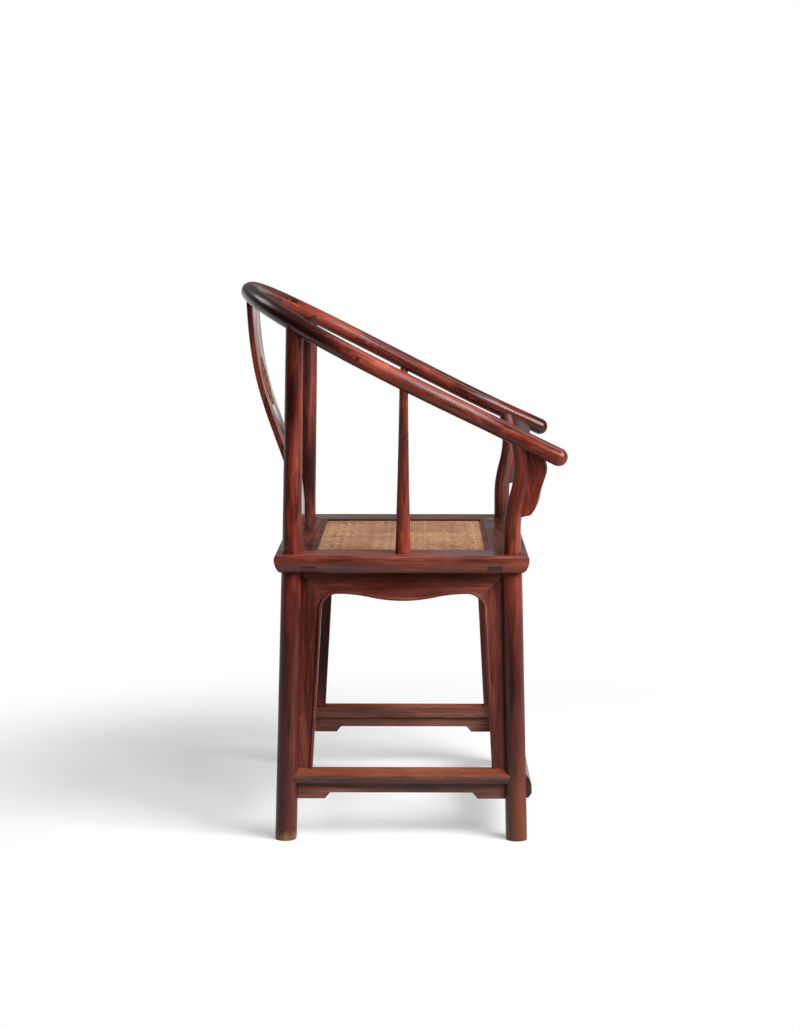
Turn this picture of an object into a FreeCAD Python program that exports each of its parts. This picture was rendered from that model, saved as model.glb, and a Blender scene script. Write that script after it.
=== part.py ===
"""Horseshoe back armchair of joined hardwood with a woven cane seat.

Lengths are in millimetres. X runs from the sitter's right to the sitter's left, -Y is the
front and Z is up. The pieces are laid out about the middle of the seat frame, and SHIFT
then moves each one so that the origin lies on the floor, halfway between the tips of the
arms and the back of the crest rail. Most pieces at the sides are built on the sitter's
left, and the piece on the right is the mirror image.
"""
import FreeCAD, Part

import math
import os
import re

import Sketcher

Vector = FreeCAD.Vector
Rotation = FreeCAD.Rotation
Placement = FreeCAD.Placement

SIZES = {
    # Seat frame
    "seat_width": 600,
    "seat_depth": 446,
    "seat_height": 510,
    "seat_frame_thickness": 32,
    "side_rail_width": 91,
    "end_rail_width": 79,
    "seat_top_setback": 2.4,
    "seat_nose_drop": 7,
    "seat_heel_rise": 7.5,
    "seat_heel_setback": 4.6,
    "seat_heel_radius": 12,
    "seat_foot_setback": 14,
    "mitre_offset": 1,
    "frame_tenon_width": 26,
    "frame_tenon_thickness": 9,
    "frame_tenon_rise": 4.5,
    "frame_tenon_inset": 6,
    # Woven seat
    "rebate_width": 12,
    "rebate_depth": 9,
    "webbing_thickness": 2.5,
    "mat_thickness": 3,
    "press_strip_width": 6,
    "press_strip_thickness": 3,
    "seat_fit": 0.2,
    # Braces under the woven seat
    "brace_half_spacing": 75,
    "brace_width": 26,
    "brace_height": 18,
    "brace_rise": 3,
    "brace_bow": 12,
    "brace_tenon_length": 14,
    "brace_shoulder": 4,
    # Legs, which stand in from the seat's edges and splay towards the floor
    "leg_side_inset": 38,
    "leg_end_inset": 29.1,
    "leg_side_splay": 17.8,
    "rear_leg_splay": 12,
    "front_leg_splay": 10.5,
    "foot_diameter": 37.5,
    "shoulder_diameter": 36,
    # Posts above the legs
    "rear_post_diameter": 34,
    "rear_post_top_diameter": 30.5,
    "rear_post_lean": 7.9,
    "front_post_diameter": 30,
    "front_post_top_diameter": 28.6,
    "front_post_bulge": 16,
    "post_tenon_diameter": 16,
    "post_tenon_rise": 5,
    # Side posts under the arms
    "right_side_post_depth": 2,
    "left_side_post_depth": -2.5,
    "side_post_lean": 2,
    "side_post_inset": 39,
    "side_post_diameter": 26.7,
    "side_post_top_diameter": 15,
    "side_post_foot_diameter": 14,
    "side_post_foot_length": 20,
    "side_post_tenon_diameter": 10,
    # Crest rail, whose line lies outside the seat's edges and above the seat
    "rail_side_overhang": 8,
    "rail_back_overhang": 58.6,
    "rail_back_rise": 454,
    "rail_radius": 15.5,
    "arm_root_depth": 40,
    "arm_tip_overhang": 48,
    "arm_tip_rise": 175,
    "arm_waist": 20,
    "arm_flare": 8,
    "tip_radius": 15.8,
    "tip_swell_length": 150,
    "back_section_length": 430,
    "shoulder_section_length": 215,
    "lap_length": 52,
    "lap_tongue_length": 6,
    "lap_tongue_width": 12,
    "lap_tongue_thickness": 5,
    "lap_tongue_lift": 2,
    "wedge_size": 7,
    # Arm spandrels
    "spandrel_reach": 56,
    "spandrel_thickness": 12,
    "spandrel_setback": 4.5,
    # Back splat
    "splat_width": 172,
    "splat_thickness": 10,
    "splat_inset": 29,
    "splat_bow": 84.5,
    "splat_tongue_thickness": 6,
    "splat_tongue_shoulder": 14,
    "splat_tongue_rise": 8,
    "splat_foot_tongue": 12,
    # Aprons and flanks under the seat
    "apron_height": 40.6,
    "apron_thickness": 15,
    "apron_corner_radius": 29,
    "side_wave_drop": 12.4,
    "front_wave_drop": 16,
    "flank_top_width": 33,
    "flank_foot_width": 24.5,
    "side_opening_shift": 1.5,
    "bead_radius": 2.8,
    "bead_rise": 1.8,
    "bead_margin": 0.4,
    "back_apron_height": 42,
    "back_spandrel_width": 34,
    "back_spandrel_drop": 150,
    "back_spandrel_foot": 9,
    # Stretchers
    "stretcher_inset": 16,
    "side_stretcher_top": 127.5,
    "back_stretcher_top": 162,
    "stretcher_height": 26,
    "stretcher_back_top": 6,
    "stretcher_back_drop": 6,
    "stretcher_ridge": 16.5,
    "stretcher_ridge_drop": 11,
    "stretcher_under": 11,
    "stretcher_tenon_drop": 5,
    "footrest_top": 116.5,
    "footrest_height": 43,
    "footrest_shelf": 18,
    "footrest_ridge": 29,
    "footrest_ridge_drop": 25,
    "footrest_ridge_rise": 8,
    "footrest_under": 23,
    "footrest_tenon_drop": 18,
    "tenon_inset": 10,
    "tenon_thickness": 8,
    "tenon_height": 18,
    "tenon_length": 14,
    # Strips under the stretchers
    "low_strip_height": 19,
    "low_strip_end_drop": 11,
    "low_strip_end_length": 48,
    "low_strip_slope": 9,
    "low_strip_thickness": 10,
    # Shared
    "joint_fit": 0.1,
    "overrun": 12,
    "station_step": 28,
}

# The crest rail's plan behind the arms is a squarish round of this power.
rail_square_share = 2.3
# How far the rail's fall runs ahead of a straight fall, and where an arm is waisted and flares.
rail_bow_share = 0.0727
arm_waist_share = 1.36
arm_flare_share = 6
# The power by which a side post thins towards its top.
side_post_taper_share = 1.3
# How far past the seat's edge the mitres are cut, as a share of the rails' widths.
mitre_overrun_share = 1.2
# The side of a square with a diagonal of 1.
diagonal_share = math.sqrt(0.5)

# The front post's line, as shares of its height above the leg and of its forward bulge.
front_post_height_shares = (0, 0.134, 0.387, 0.487, 0.571, 0.654, 0.755, 0.88, 1)
front_post_bulge_shares = (0, 0, 0.05, 0.25, 0.55, 0.83, 1, 0.87, 0.62)

# The splat's middle, as shares of its height above the seat and of its bow.
splat_height_shares = (0, 0.103, 0.22, 0.341, 0.513, 0.684, 0.851, 1)
splat_bow_shares = (0, -0.002, 0.058, 0.239, 0.557, 0.814, 0.948, 1)

# How far down an arm spandrel reaches, as a share of the arm tip's height above the seat, and
# its outer edge, as shares of its reach from the post and of that drop.
spandrel_drop_share = 0.634
spandrel_reach_shares = (0.955, 0.966, 1.0, 0.925, 0.84, 0.78, 0.67, 0.54, 0.41, 0.32)
spandrel_drop_shares = (0, 0.112, 0.187, 0.406, 0.558, 0.7125, 0.867, 0.955, 0.972, 0.988)

doc = FreeCAD.newDocument("HorseshoeArmchair")
sheet = doc.addObject("Spreadsheet::Sheet", "Sizes")
for row, (alias, number) in enumerate(SIZES.items(), start=1):
    sheet.set(f"A{row}", alias)
    sheet.set(f"B{row}", str(number))
    sheet.setAlias(f"B{row}", alias)
doc.recompute()

# Places that several pieces share, as sums of sizes
UNDERSIDE = "(seat_height - seat_frame_thickness)"
OPENING_X = "(seat_width / 2 - side_rail_width)"
OPENING_Y = "(seat_depth / 2 - end_rail_width)"
LEDGE = "(seat_height - rebate_depth)"
SHOULDER_X = "(seat_width / 2 - leg_side_inset)"
SHOULDER_Y = "(seat_depth / 2 - leg_end_inset)"
FOOT_X = f"({SHOULDER_X} + leg_side_splay)"
FOOT_Y = {end: f"({SHOULDER_Y} + {end}_leg_splay)" for end in ("rear", "front")}
SIDE_POST_X = "(seat_width / 2 - side_post_inset)"
SPLAT_Y = "(seat_depth / 2 - splat_inset)"
RAIL_X = "(seat_width / 2 + rail_side_overhang)"
RAIL_Y = "(seat_depth / 2 + rail_back_overhang)"
RAIL_Z = "(seat_height + rail_back_rise)"
TIP_Y = "(seat_depth / 2 + arm_tip_overhang)"
TIP_Z = "(seat_height + arm_tip_rise)"
SHIFT = f"({TIP_Y} + tip_radius - {RAIL_Y} - rail_radius) / 2"

subparts = []


def formula(text):
    """The text with every size named as a cell of the sheet."""
    return re.sub(r"[a-z_]+", lambda word: f"Sizes.{word[0]}" if word[0] in SIZES else word[0], text)


def mm(text):
    """The value of a size, or of a sum of sizes."""
    return float(sheet.evalExpression(formula(text)))


def bind(feature, name, text):
    feature.setExpression(name, formula(text))


def at_leg(foot, shoulder, height):
    """A size of a leg at a height, between its values at the floor and at the seat."""
    return f"({foot} + ({shoulder} - {foot}) * ({height}) / {UNDERSIDE})"


def leg_spread(height):
    return at_leg(FOOT_X, SHOULDER_X, height)


def leg_depth(end, height):
    return at_leg(FOOT_Y[end], SHOULDER_Y, height)


def leg_radius(height):
    return at_leg("foot_diameter", "shoulder_diameter", height) + " / 2"


def placed(feature):
    """Moves a piece from the seat's middle to the chair's own frame."""
    bind(feature, ".Placement.Base.y", SHIFT)
    return feature


def finish(feature, label):
    """Names a piece as a sub-part and moves it to its place."""
    feature.Label = label
    subparts.append(feature)
    return placed(feature)


def twin(source, label=None):
    """The mirror image of a left piece, which is a sub-part where it has a label."""
    feature = doc.addObject("Part::Mirroring", (label or source.Name) + "_twin")
    feature.Source = source
    feature.Normal = Vector(1, 0, 0)
    if label:
        feature.Label = label
        subparts.append(feature)
    return feature


def both(feature):
    return [feature, twin(feature)]


def formed(name, shape):
    """A feature whose shape is worked out here from the sheet's sizes."""
    feature = doc.addObject("Part::Feature", name)
    feature.Shape = shape
    return feature


def joined(name, features):
    feature = doc.addObject("Part::MultiFuse", name)
    feature.Shapes = features
    return feature


def shared(name, base, tool):
    feature = doc.addObject("Part::Common", name)
    feature.Base = base
    feature.Tool = tool
    return feature


def carved(name, base, tools):
    """The base without the tools."""
    feature = doc.addObject("Part::Cut", name)
    feature.Base = base
    feature.Tool = tools[0] if len(tools) == 1 else joined(name + "_tools", tools)
    return feature


def block(name, low, high, slack="0"):
    """A box between two corners given as sums of sizes, grown by a slack on every side."""
    feature = doc.addObject("Part::Box", name)
    for prop, axis, start, end in zip(("Length", "Width", "Height"), "xyz", low, high):
        bind(feature, prop, f"({end}) - ({start}) + 2 * {slack}")
        bind(feature, ".Placement.Base." + axis, f"({start}) - {slack}")
    return feature


def peg(name, radius, low, high, x, y):
    """An upright round peg or hole."""
    feature = doc.addObject("Part::Cylinder", name)
    bind(feature, "Radius", radius)
    bind(feature, "Height", f"({high}) - ({low})")
    for axis, place in zip("xyz", (x, y, low)):
        bind(feature, ".Placement.Base." + axis, place)
    return feature


def add_arc(sketch, start, end, radius):
    """An arc from start to end, turning left for a radius above zero and right below it."""
    chord = end.sub(start)
    rise = math.sqrt(radius * radius - chord.Length * chord.Length / 4)
    left = Vector(-chord.y, chord.x, 0).normalize()
    centre = start.add(end).multiply(0.5).add(left.multiply(math.copysign(rise, radius)))
    first, last = (start, end) if radius > 0 else (end, start)
    angles = [math.atan2(point.y - centre.y, point.x - centre.x) for point in (first, last)]
    circle = Part.Circle(centre, Vector(0, 0, 1), abs(radius))
    sketch.addGeometry(Part.ArcOfCircle(circle, angles[0], angles[1]), False)


def outline(body, name, plane, points, lift="0"):
    """A closed sketch through points given as sums of sizes, counterclockwise.

    A point with a third entry leads to the next one by an arc of that radius, which is
    below zero where the arc turns right.
    """
    sketch = body.newObject("Sketcher::SketchObject", name)
    origin = [feature for feature in body.Origin.OriginFeatures if feature.Role == plane][0]
    sketch.AttachmentSupport = [(origin, "")]
    sketch.MapMode = "FlatFace"
    if lift != "0":
        bind(sketch, ".AttachmentOffset.Base.z", lift)
    places = [Vector(mm(point[0]), mm(point[1]), 0) for point in points]
    radii = [mm(point[2]) if len(point) == 3 else 0 for point in points]
    begins = [2 if radius < 0 else 1 for radius in radii]
    count = len(points)
    for index, radius in enumerate(radii):
        here, after = places[index], places[(index + 1) % count]
        if radius:
            add_arc(sketch, here, after, radius)
        else:
            sketch.addGeometry(Part.LineSegment(here, after), False)
    for index, begin in enumerate(begins):
        after = (index + 1) % count
        link = Sketcher.Constraint("Coincident", index, 3 - begin, after, begins[after])
        sketch.addConstraint(link)
    for index, point in enumerate(points):
        for kind, text, value in zip(("DistanceX", "DistanceY"), point, places[index]):
            distance = Sketcher.Constraint(kind, -1, 1, index, begins[index], value)
            number = sketch.addConstraint(distance)
            bind(sketch, f"Constraints[{number}]", text)
        if radii[index]:
            number = sketch.addConstraint(Sketcher.Constraint("Radius", index, abs(radii[index])))
            bind(sketch, f"Constraints[{number}]", f"abs({point[2]})")
    return sketch


def prism(name, plane, points, length, lift="0", symmetric=False, backwards=False):
    """A body made by padding one outline."""
    body = doc.addObject("PartDesign::Body", name)
    pad = body.newObject("PartDesign::Pad", name + "_pad")
    pad.Profile = outline(body, name + "_outline", plane, points, lift)
    bind(pad, "Length", length)
    pad.SideType = "Symmetric" if symmetric else "One side"
    pad.Reversed = backwards
    return body


# Crest rail: one round rail in five sections, on a horseshoe that falls towards the front

def plan_point(share):
    """The rail's plan from the back's middle, at 0, past the arm's root, at 1, to its tip, at 2."""
    root = mm("arm_root_depth")
    if share <= 1:
        angle = share * math.pi / 2
        across = abs(math.sin(angle)) / mm(RAIL_X)
        back = abs(math.cos(angle)) / mm(f"{RAIL_Y} - arm_root_depth")
        reach = (across ** rail_square_share + back ** rail_square_share) ** (-1 / rail_square_share)
        return reach * math.sin(angle), root + reach * math.cos(angle)
    run = share - 1
    waist = mm("arm_waist") * math.sin(math.pi * run ** arm_waist_share) ** 2
    flare = mm("arm_flare") * run ** arm_flare_share
    return mm(RAIL_X) - waist + flare, root - run * mm(f"arm_root_depth + {TIP_Y}")


def rail_point(share):
    """A point of the rail's centre line, which falls a little faster at the back."""
    across, depth = plan_point(share)
    run = (mm(RAIL_Y) - depth) / mm(f"{RAIL_Y} + {TIP_Y}")
    fall = run + rail_bow_share * run * (1 - run)
    return Vector(across, depth, mm(RAIL_Z) - fall * mm("rail_back_rise - arm_tip_rise"))


def rail_curve():
    """The centre line from the right arm's tip round the back to the left arm's tip."""
    left = [rail_point(step / 6) for step in range(1, 13)]
    right = [Vector(-point.x, point.y, point.z) for point in reversed(left)]
    curve = Part.BSplineCurve()
    curve.interpolate(right + [rail_point(0)] + left)
    return curve


RAIL = rail_curve()
HALF_RAIL = RAIL.length() / 2
BACK_JOINT = mm("back_section_length / 2")
ARM_JOINT = BACK_JOINT + mm("shoulder_section_length")
LAP_REACH = mm("lap_length / 2 + overrun")


def rail_place(distance):
    """The rail's own axes at a distance from the back's middle: along, outwards and up."""
    parameter = RAIL.parameterAtDistance(HALF_RAIL + distance, RAIL.FirstParameter)
    along = Vector(*RAIL.tangent(parameter)[0]).normalize()
    outwards = Vector(0, 0, 1).cross(along).normalize()
    return Placement(RAIL.value(parameter), Rotation(along, outwards, along.cross(outwards), "XYZ"))


def rail_thickness(distance):
    """The rail's radius, which swells towards the tips."""
    swell = max(0, 1 - (HALF_RAIL - abs(distance)) / mm("tip_swell_length"))
    return mm("rail_radius") + mm("tip_radius - rail_radius") * swell ** 2


def rail_tube(start, end):
    """A length of the round rail between two distances from the back's middle."""
    count = math.ceil((end - start) / mm("station_step"))
    rings = []
    for step in range(count + 1):
        distance = start + (end - start) * step / count
        ring = Part.Wire(Part.Circle(Vector(), Vector(1, 0, 0), rail_thickness(distance)).toShape())
        ring.Placement = rail_place(distance)
        rings.append(ring)
    return Part.makeLoft(rings, True, False)


def rail_block(distance, along, across, up):
    """A box in the rail's own axes, from low to high along each."""
    corner = Vector(along[0], across[0], up[0])
    box = Part.makeBox(along[1] - along[0], across[1] - across[0], up[1] - up[0], corner)
    box.Placement = rail_place(distance).multiply(box.Placement)
    return box


def lap_waste(distance, toward, on_top):
    """What a section loses where it ends in a half lap, towards 1 or -1 along the rail."""
    wide = mm("2 * rail_radius")
    tip = toward * mm("lap_length / 2")
    end = tip + toward * mm("2 * overrun")
    beyond = rail_block(distance, sorted((tip, end)), (-wide, wide), (-wide, wide))
    lost_half = (-wide, 0) if on_top else (0, wide)
    return beyond.fuse(rail_block(distance, sorted((-tip, tip)), (-wide, wide), lost_half))


def lap_tongue(distance, toward, on_top, slack=0):
    """The small tongue at the tip of a half lap, which enters the next section."""
    tip = toward * mm("lap_length / 2")
    length = toward * mm("lap_tongue_length")
    half = mm("lap_tongue_width / 2") + slack
    low = mm("lap_tongue_lift") - slack
    high = mm("lap_tongue_lift + lap_tongue_thickness") + slack
    up = (low, high) if on_top else (-high, -low)
    return rail_block(distance, sorted((tip - length, tip + length + toward * slack)), (-half, half), up)


def wedge(distance, slack=0):
    """The square wedge across a lap joint, half in each lip."""
    half = mm("wedge_size / 2") + slack
    wide = mm("2 * rail_radius")
    return rail_block(distance, (-half, half), (-wide, wide), (-half, half))


def lapped(tube, distance, toward, on_top):
    """A rail section with its half of a lap joint cut on one end."""
    slack = mm("joint_fit")
    section = tube.cut(lap_waste(distance, toward, on_top)).fuse(lap_tongue(distance, toward, on_top))
    return section.cut([lap_tongue(distance, -toward, not on_top, slack), wedge(distance, slack)])


def distance_to(depth):
    """How far round the rail its centre line reaches a depth."""
    near, far = 0, HALF_RAIL
    while far - near > mm("joint_fit / 100"):
        middle = (near + far) / 2
        if rail_place(middle).Base.y > depth:
            near = middle
        else:
            far = middle
    return near


def post_tenon(top, diameter, slack=0):
    """The round tenon from a post into the rail, up to a little past the rail's middle."""
    low = mm("2 * rail_radius")
    foot = top.sub(Vector(0, 0, low))
    return Part.makeCylinder(diameter / 2 + slack, low + mm("post_tenon_rise") + slack, foot)


def seated(post, tube, top, diameter):
    """A post coped to the rail's underside, with its round tenon in the rail."""
    coped = max(post.cut(tube).Solids, key=lambda solid: solid.Volume)
    return coped.fuse(post_tenon(top, diameter).common(tube))


def socketed(section, tops):
    """A rail section with a hole for each post's tenon, given its place and diameter."""
    return section.cut([post_tenon(top, diameter, mm("joint_fit")) for top, diameter in tops])


def level_ring(x, y, height, radius):
    return Part.Wire(Part.Circle(Vector(x, y, height), Vector(0, 0, 1), radius).toShape())


REAR_TOP = rail_place(distance_to(mm(f"{SHOULDER_Y} - rear_post_lean"))).Base
front_top_depth = mm(SHOULDER_Y) + mm("front_post_bulge") * front_post_bulge_shares[-1]
FRONT_TOP_PLACE = rail_place(distance_to(-front_top_depth))
FRONT_TOP = FRONT_TOP_PLACE.Base
SIDES = ("left", "right")
SIDE_TOPS = {}
for side in SIDES:
    SIDE_TOPS[side] = rail_place(distance_to(-mm(f"{side}_side_post_depth + side_post_lean"))).Base


def rear_post(slack=0):
    """The straight tapered post above a rear leg, as far as the rail's middle."""
    low = level_ring(mm(SHOULDER_X), mm(SHOULDER_Y), mm(UNDERSIDE),
                     mm("rear_post_diameter / 2") + slack)
    high = level_ring(REAR_TOP.x, REAR_TOP.y, REAR_TOP.z, mm("rear_post_top_diameter / 2") + slack)
    return Part.makeLoft([low, high], True, True)


def front_post_spread(share):
    """How far the front post stands from the chair's middle at a share of its height."""
    spread = mm(SHOULDER_X)
    return spread + (FRONT_TOP.x - spread) * (1 - math.cos(share * math.pi / 2))


def front_post(slack=0):
    """The curved post above a front leg, which bulges forwards under the arm."""
    rings = []
    for height, bulge in zip(front_post_height_shares, front_post_bulge_shares):
        depth = mm(SHOULDER_Y) + mm("front_post_bulge") * bulge
        diameter = mm("front_post_diameter") + mm("front_post_top_diameter - front_post_diameter") * height
        level = mm(UNDERSIDE) + (FRONT_TOP.z - mm(UNDERSIDE)) * height
        rings.append(level_ring(front_post_spread(height), -depth, level, diameter / 2 + slack))
    return Part.makeLoft(rings, True, False)


def side_post(side):
    """The slender post between the seat and an arm, which leans out in a long S."""
    top = SIDE_TOPS[side]
    rings = []
    count = math.ceil((top.z - mm("seat_height")) / mm("station_step"))
    for step in range(count + 1):
        share = step / count
        sway = (1 - math.cos(math.pi * share)) / 2
        thinning = mm("side_post_diameter - side_post_top_diameter") * (1 - share) ** side_post_taper_share
        rings.append(level_ring(mm(SIDE_POST_X) * (1 - sway) + top.x * sway,
                                -mm(f"{side}_side_post_depth") - mm("side_post_lean") * share,
                                mm("seat_height") + (top.z - mm("seat_height")) * share,
                                (mm("side_post_top_diameter") + thinning) / 2))
    return Part.makeLoft(rings, True, True)


def splat_board(thickness, width, top):
    """The bowed board of a thickness and width, from the seat up to a height."""
    floor = mm("seat_height")
    tall = mm("rail_back_rise - rail_radius")
    line = [Vector(0, mm(SPLAT_Y) + mm("splat_bow") * bow, floor + tall * rise)
            for rise, bow in zip(splat_height_shares, splat_bow_shares)]
    middle = Part.BSplineCurve()
    middle.interpolate(line)
    tangents = [Vector(*middle.tangent(middle.parameter(point))[0]).normalize() for point in line]
    edges = []
    corners = []
    for side in (-thickness / 2, thickness / 2):
        points = [point.add(Vector(0, along.z, -along.y).multiply(side))
                  for point, along in zip(line, tangents)]
        points[0] = Vector(0, line[0].y + side, floor)
        face = Part.BSplineCurve()
        face.interpolate(points)
        head = Vector(0, points[-1].y, top)
        edges += [face.toShape(), Part.LineSegment(points[-1], head).toShape()]
        corners.append((points[0], head))
    edges += [Part.LineSegment(front, back).toShape() for front, back in zip(*corners)]
    profile = Part.Face(Part.Wire(Part.sortEdges(edges)[0]))
    profile.translate(Vector(-width / 2, 0, 0))
    return profile.extrude(Vector(width, 0, 0))


def arm_spandrel(tube, post):
    """The shaped board in the corner between the front post and the arm."""
    drop = mm("arm_tip_rise") * spandrel_drop_share
    foot = mm(TIP_Z) - drop
    foot_share = (foot - mm(UNDERSIDE)) / (FRONT_TOP.z - mm(UNDERSIDE))
    lean = (FRONT_TOP.x - front_post_spread(foot_share)) / (FRONT_TOP.z - foot)
    along = FRONT_TOP_PLACE.Rotation.multVec(Vector(1, 0, 0))

    def on_board(reach, height):
        depth = -mm(SHOULDER_Y) - reach
        x = FRONT_TOP.x + (depth - FRONT_TOP.y) * along.x / along.y + (height - FRONT_TOP.z) * lean
        return Vector(x, depth, height)

    edge = [on_board(mm("spandrel_reach") * reach, mm(TIP_Z) - drop * fall)
            for reach, fall in zip(spandrel_reach_shares, spandrel_drop_shares)]
    curve = Part.BSplineCurve()
    curve.interpolate(edge)
    heel = on_board(0, foot)
    sides = [curve.toShape()]
    for start, end in ((edge[-1], heel), (heel, FRONT_TOP), (FRONT_TOP, edge[0])):
        sides.append(Part.LineSegment(start, end).toShape())
    wire = Part.Wire(sides)
    normal = FRONT_TOP.sub(heel).cross(edge[0].sub(heel)).normalize()
    face = Part.Face(wire)
    face.translate(normal * (-mm("spandrel_thickness / 2 + spandrel_setback")))
    board = face.extrude(normal * mm("spandrel_thickness")).cut([tube, post])
    return max(board.Solids, key=lambda solid: solid.Volume)


back_tube = rail_tube(-BACK_JOINT - LAP_REACH, BACK_JOINT + LAP_REACH)
shoulder_tube = rail_tube(BACK_JOINT - LAP_REACH, ARM_JOINT + LAP_REACH)
tip_place = rail_place(HALF_RAIL)
tip_axis = tip_place.Rotation.multVec(Vector(1, 0, 0))
arm_tip = Part.makeSphere(mm("tip_radius"), tip_place.Base, tip_axis, 0, 90, 360)
arm_tube = rail_tube(ARM_JOINT - LAP_REACH, HALF_RAIL).fuse(arm_tip)

splat_top = mm(f"{RAIL_Z} - rail_radius + splat_tongue_rise")
splat_tongue_width = mm("splat_width - 2 * splat_tongue_shoulder")
tongue = splat_board(mm("splat_tongue_thickness"), splat_tongue_width, splat_top)
tongue_slot = splat_board(mm("splat_tongue_thickness + 2 * joint_fit"),
                          splat_tongue_width + mm("2 * joint_fit"), splat_top + mm("joint_fit"))

back_section = lapped(lapped(back_tube, BACK_JOINT, 1, True), -BACK_JOINT, -1, True).cut(tongue_slot)
finish(formed("back_section", back_section), "crest_back")

post_diameter = mm("post_tenon_diameter")
shoulder_section = lapped(lapped(shoulder_tube, BACK_JOINT, -1, False), ARM_JOINT, 1, True)
shoulder_section = socketed(shoulder_section, [(REAR_TOP, post_diameter)])
twin(finish(formed("shoulder_section", shoulder_section), "crest_shoulder_left"), "crest_shoulder_right")

arm_section = socketed(lapped(arm_tube, ARM_JOINT, -1, False), [(FRONT_TOP, post_diameter)])
side_tenon = mm("side_post_tenon_diameter")
left_arm = formed("left_arm_section", socketed(arm_section, [(SIDE_TOPS["left"], side_tenon)]))
right_arm = formed("right_arm_section", socketed(arm_section, [(SIDE_TOPS["right"], side_tenon)]))
finish(left_arm, "crest_arm_left")
twin(placed(right_arm), "crest_arm_right")

wedges = [wedge(distance).common(shoulder_tube) for distance in (BACK_JOINT, ARM_JOINT)]
wedges += [pin.mirror(Vector(), Vector(1, 0, 0)) for pin in wedges]
finish(formed("wedges", Part.makeCompound(wedges)), "crest_wedge_pins")


# Splat: a board bowed for the sitter's back, tongued into the crest rail and the seat

board = splat_board(mm("splat_thickness"), mm("splat_width"), splat_top)
board = board.cut(back_tube).fuse(tongue.common(back_tube))
splat_foot_low = ("splat_tongue_shoulder - splat_width / 2", f"{SPLAT_Y} - splat_tongue_thickness / 2",
                  "seat_height - splat_foot_tongue")
splat_foot_high = ("splat_width / 2 - splat_tongue_shoulder", f"{SPLAT_Y} + splat_tongue_thickness / 2",
                   "seat_height")
splat_foot = block("splat_foot", splat_foot_low, splat_foot_high)
splat_slot = block("splat_slot", splat_foot_low, splat_foot_high, "joint_fit")
finish(joined("splat_whole", [formed("splat_board", board), splat_foot]), "splat")


# Seat frame: four moulded rails, mitred at the corners, with the end rails' tenons let
# through to the side rails' outer faces

def moulded(name, plane, width, length):
    """A slab with the frame's moulded edge on two sides."""
    half = f"{width} / 2"
    foot = f"{half} - seat_foot_setback"
    top = f"{half} - seat_top_setback"
    nose = "seat_height - seat_nose_drop"
    heel = f"{half} - seat_heel_setback"
    heel_level = f"{UNDERSIDE} + seat_heel_rise"
    swell = f"(seat_heel_setback^2 + ({nose} - ({heel_level}))^2) / (2 * seat_heel_setback)"
    arris = "(seat_top_setback^2 + seat_nose_drop^2) / (2 * seat_top_setback)"
    points = [(f"-({foot})", UNDERSIDE), (foot, UNDERSIDE, "seat_heel_radius"), (heel, heel_level, swell),
              (half, nose, arris), (top, "seat_height"), (f"-({top})", "seat_height", arris),
              (f"-{half}", nose, swell), (f"-({heel})", heel_level, "seat_heel_radius")]
    return prism(name, plane, points, f"{length} + overrun", symmetric=True)


slab = shared("seat_slab", moulded("slab_across", "XZ_Plane", "seat_width", "seat_depth"),
              moulded("slab_along", "YZ_Plane", "seat_depth", "seat_width"))

MITRE_X = f"(seat_width / 2 - side_rail_width + (side_rail_width - mitre_offset) * {mitre_overrun_share})"
MITRE_Y = f"(seat_depth / 2 - end_rail_width + end_rail_width * {mitre_overrun_share})"


def frame_rail(name, points):
    """The part of the slab between two mitres."""
    wedge_body = prism(name + "_mitres", "XY_Plane", points, "seat_frame_thickness + 2 * overrun",
                       f"{UNDERSIDE} - overrun")
    return shared(name + "_blank", slab, wedge_body)


rebate = block("rebate", (f"-{OPENING_X} - rebate_width", f"-{OPENING_Y} - rebate_width", LEDGE),
               (f"{OPENING_X} + rebate_width", f"{OPENING_Y} + rebate_width", "seat_height + overrun"))
left_posts = [rear_post(mm("joint_fit")), front_post(mm("joint_fit"))]
right_posts = [post.mirror(Vector(), Vector(1, 0, 0)) for post in left_posts]
post_holes = formed("post_holes", Part.makeCompound(left_posts + right_posts))

TENON_LOW = f"({OPENING_Y} + frame_tenon_inset)"
TENON_HIGH = f"({OPENING_Y} + frame_tenon_inset + frame_tenon_width)"
tenon_floor = f"{UNDERSIDE} + frame_tenon_rise"
tenon_ceiling = f"{UNDERSIDE} + frame_tenon_rise + frame_tenon_thickness"
BRACE_LOW = f"({UNDERSIDE} + brace_rise)"
BRACE_HIGH = f"({UNDERSIDE} + brace_rise + brace_height)"

side_rail_tools = [rebate, post_holes]
for end, near, far in (("rear", TENON_LOW, TENON_HIGH), ("front", f"-{TENON_HIGH}", f"-{TENON_LOW}")):
    side_rail_tools.append(block(end + "_through_mortise", (OPENING_X, near, tenon_floor),
                                 ("seat_width / 2 + overrun", far, tenon_ceiling), "joint_fit"))
side_rail_blank = frame_rail("side_rail", [(OPENING_X, f"-{OPENING_Y}"), (MITRE_X, f"-{MITRE_Y}"),
                                           (MITRE_X, MITRE_Y), (OPENING_X, OPENING_Y)])
side_rails = {}
for side in SIDES:
    socket = peg(side + "_side_post_socket", "side_post_foot_diameter / 2 + joint_fit",
                 "seat_height - side_post_foot_length - joint_fit", "seat_height + overrun",
                 SIDE_POST_X, f"-({side}_side_post_depth)")
    side_rails[side] = carved(side + "_rail", side_rail_blank, side_rail_tools + [socket])
finish(side_rails["left"], "seat_rail_left")
twin(placed(side_rails["right"]), "seat_rail_right")

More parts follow.
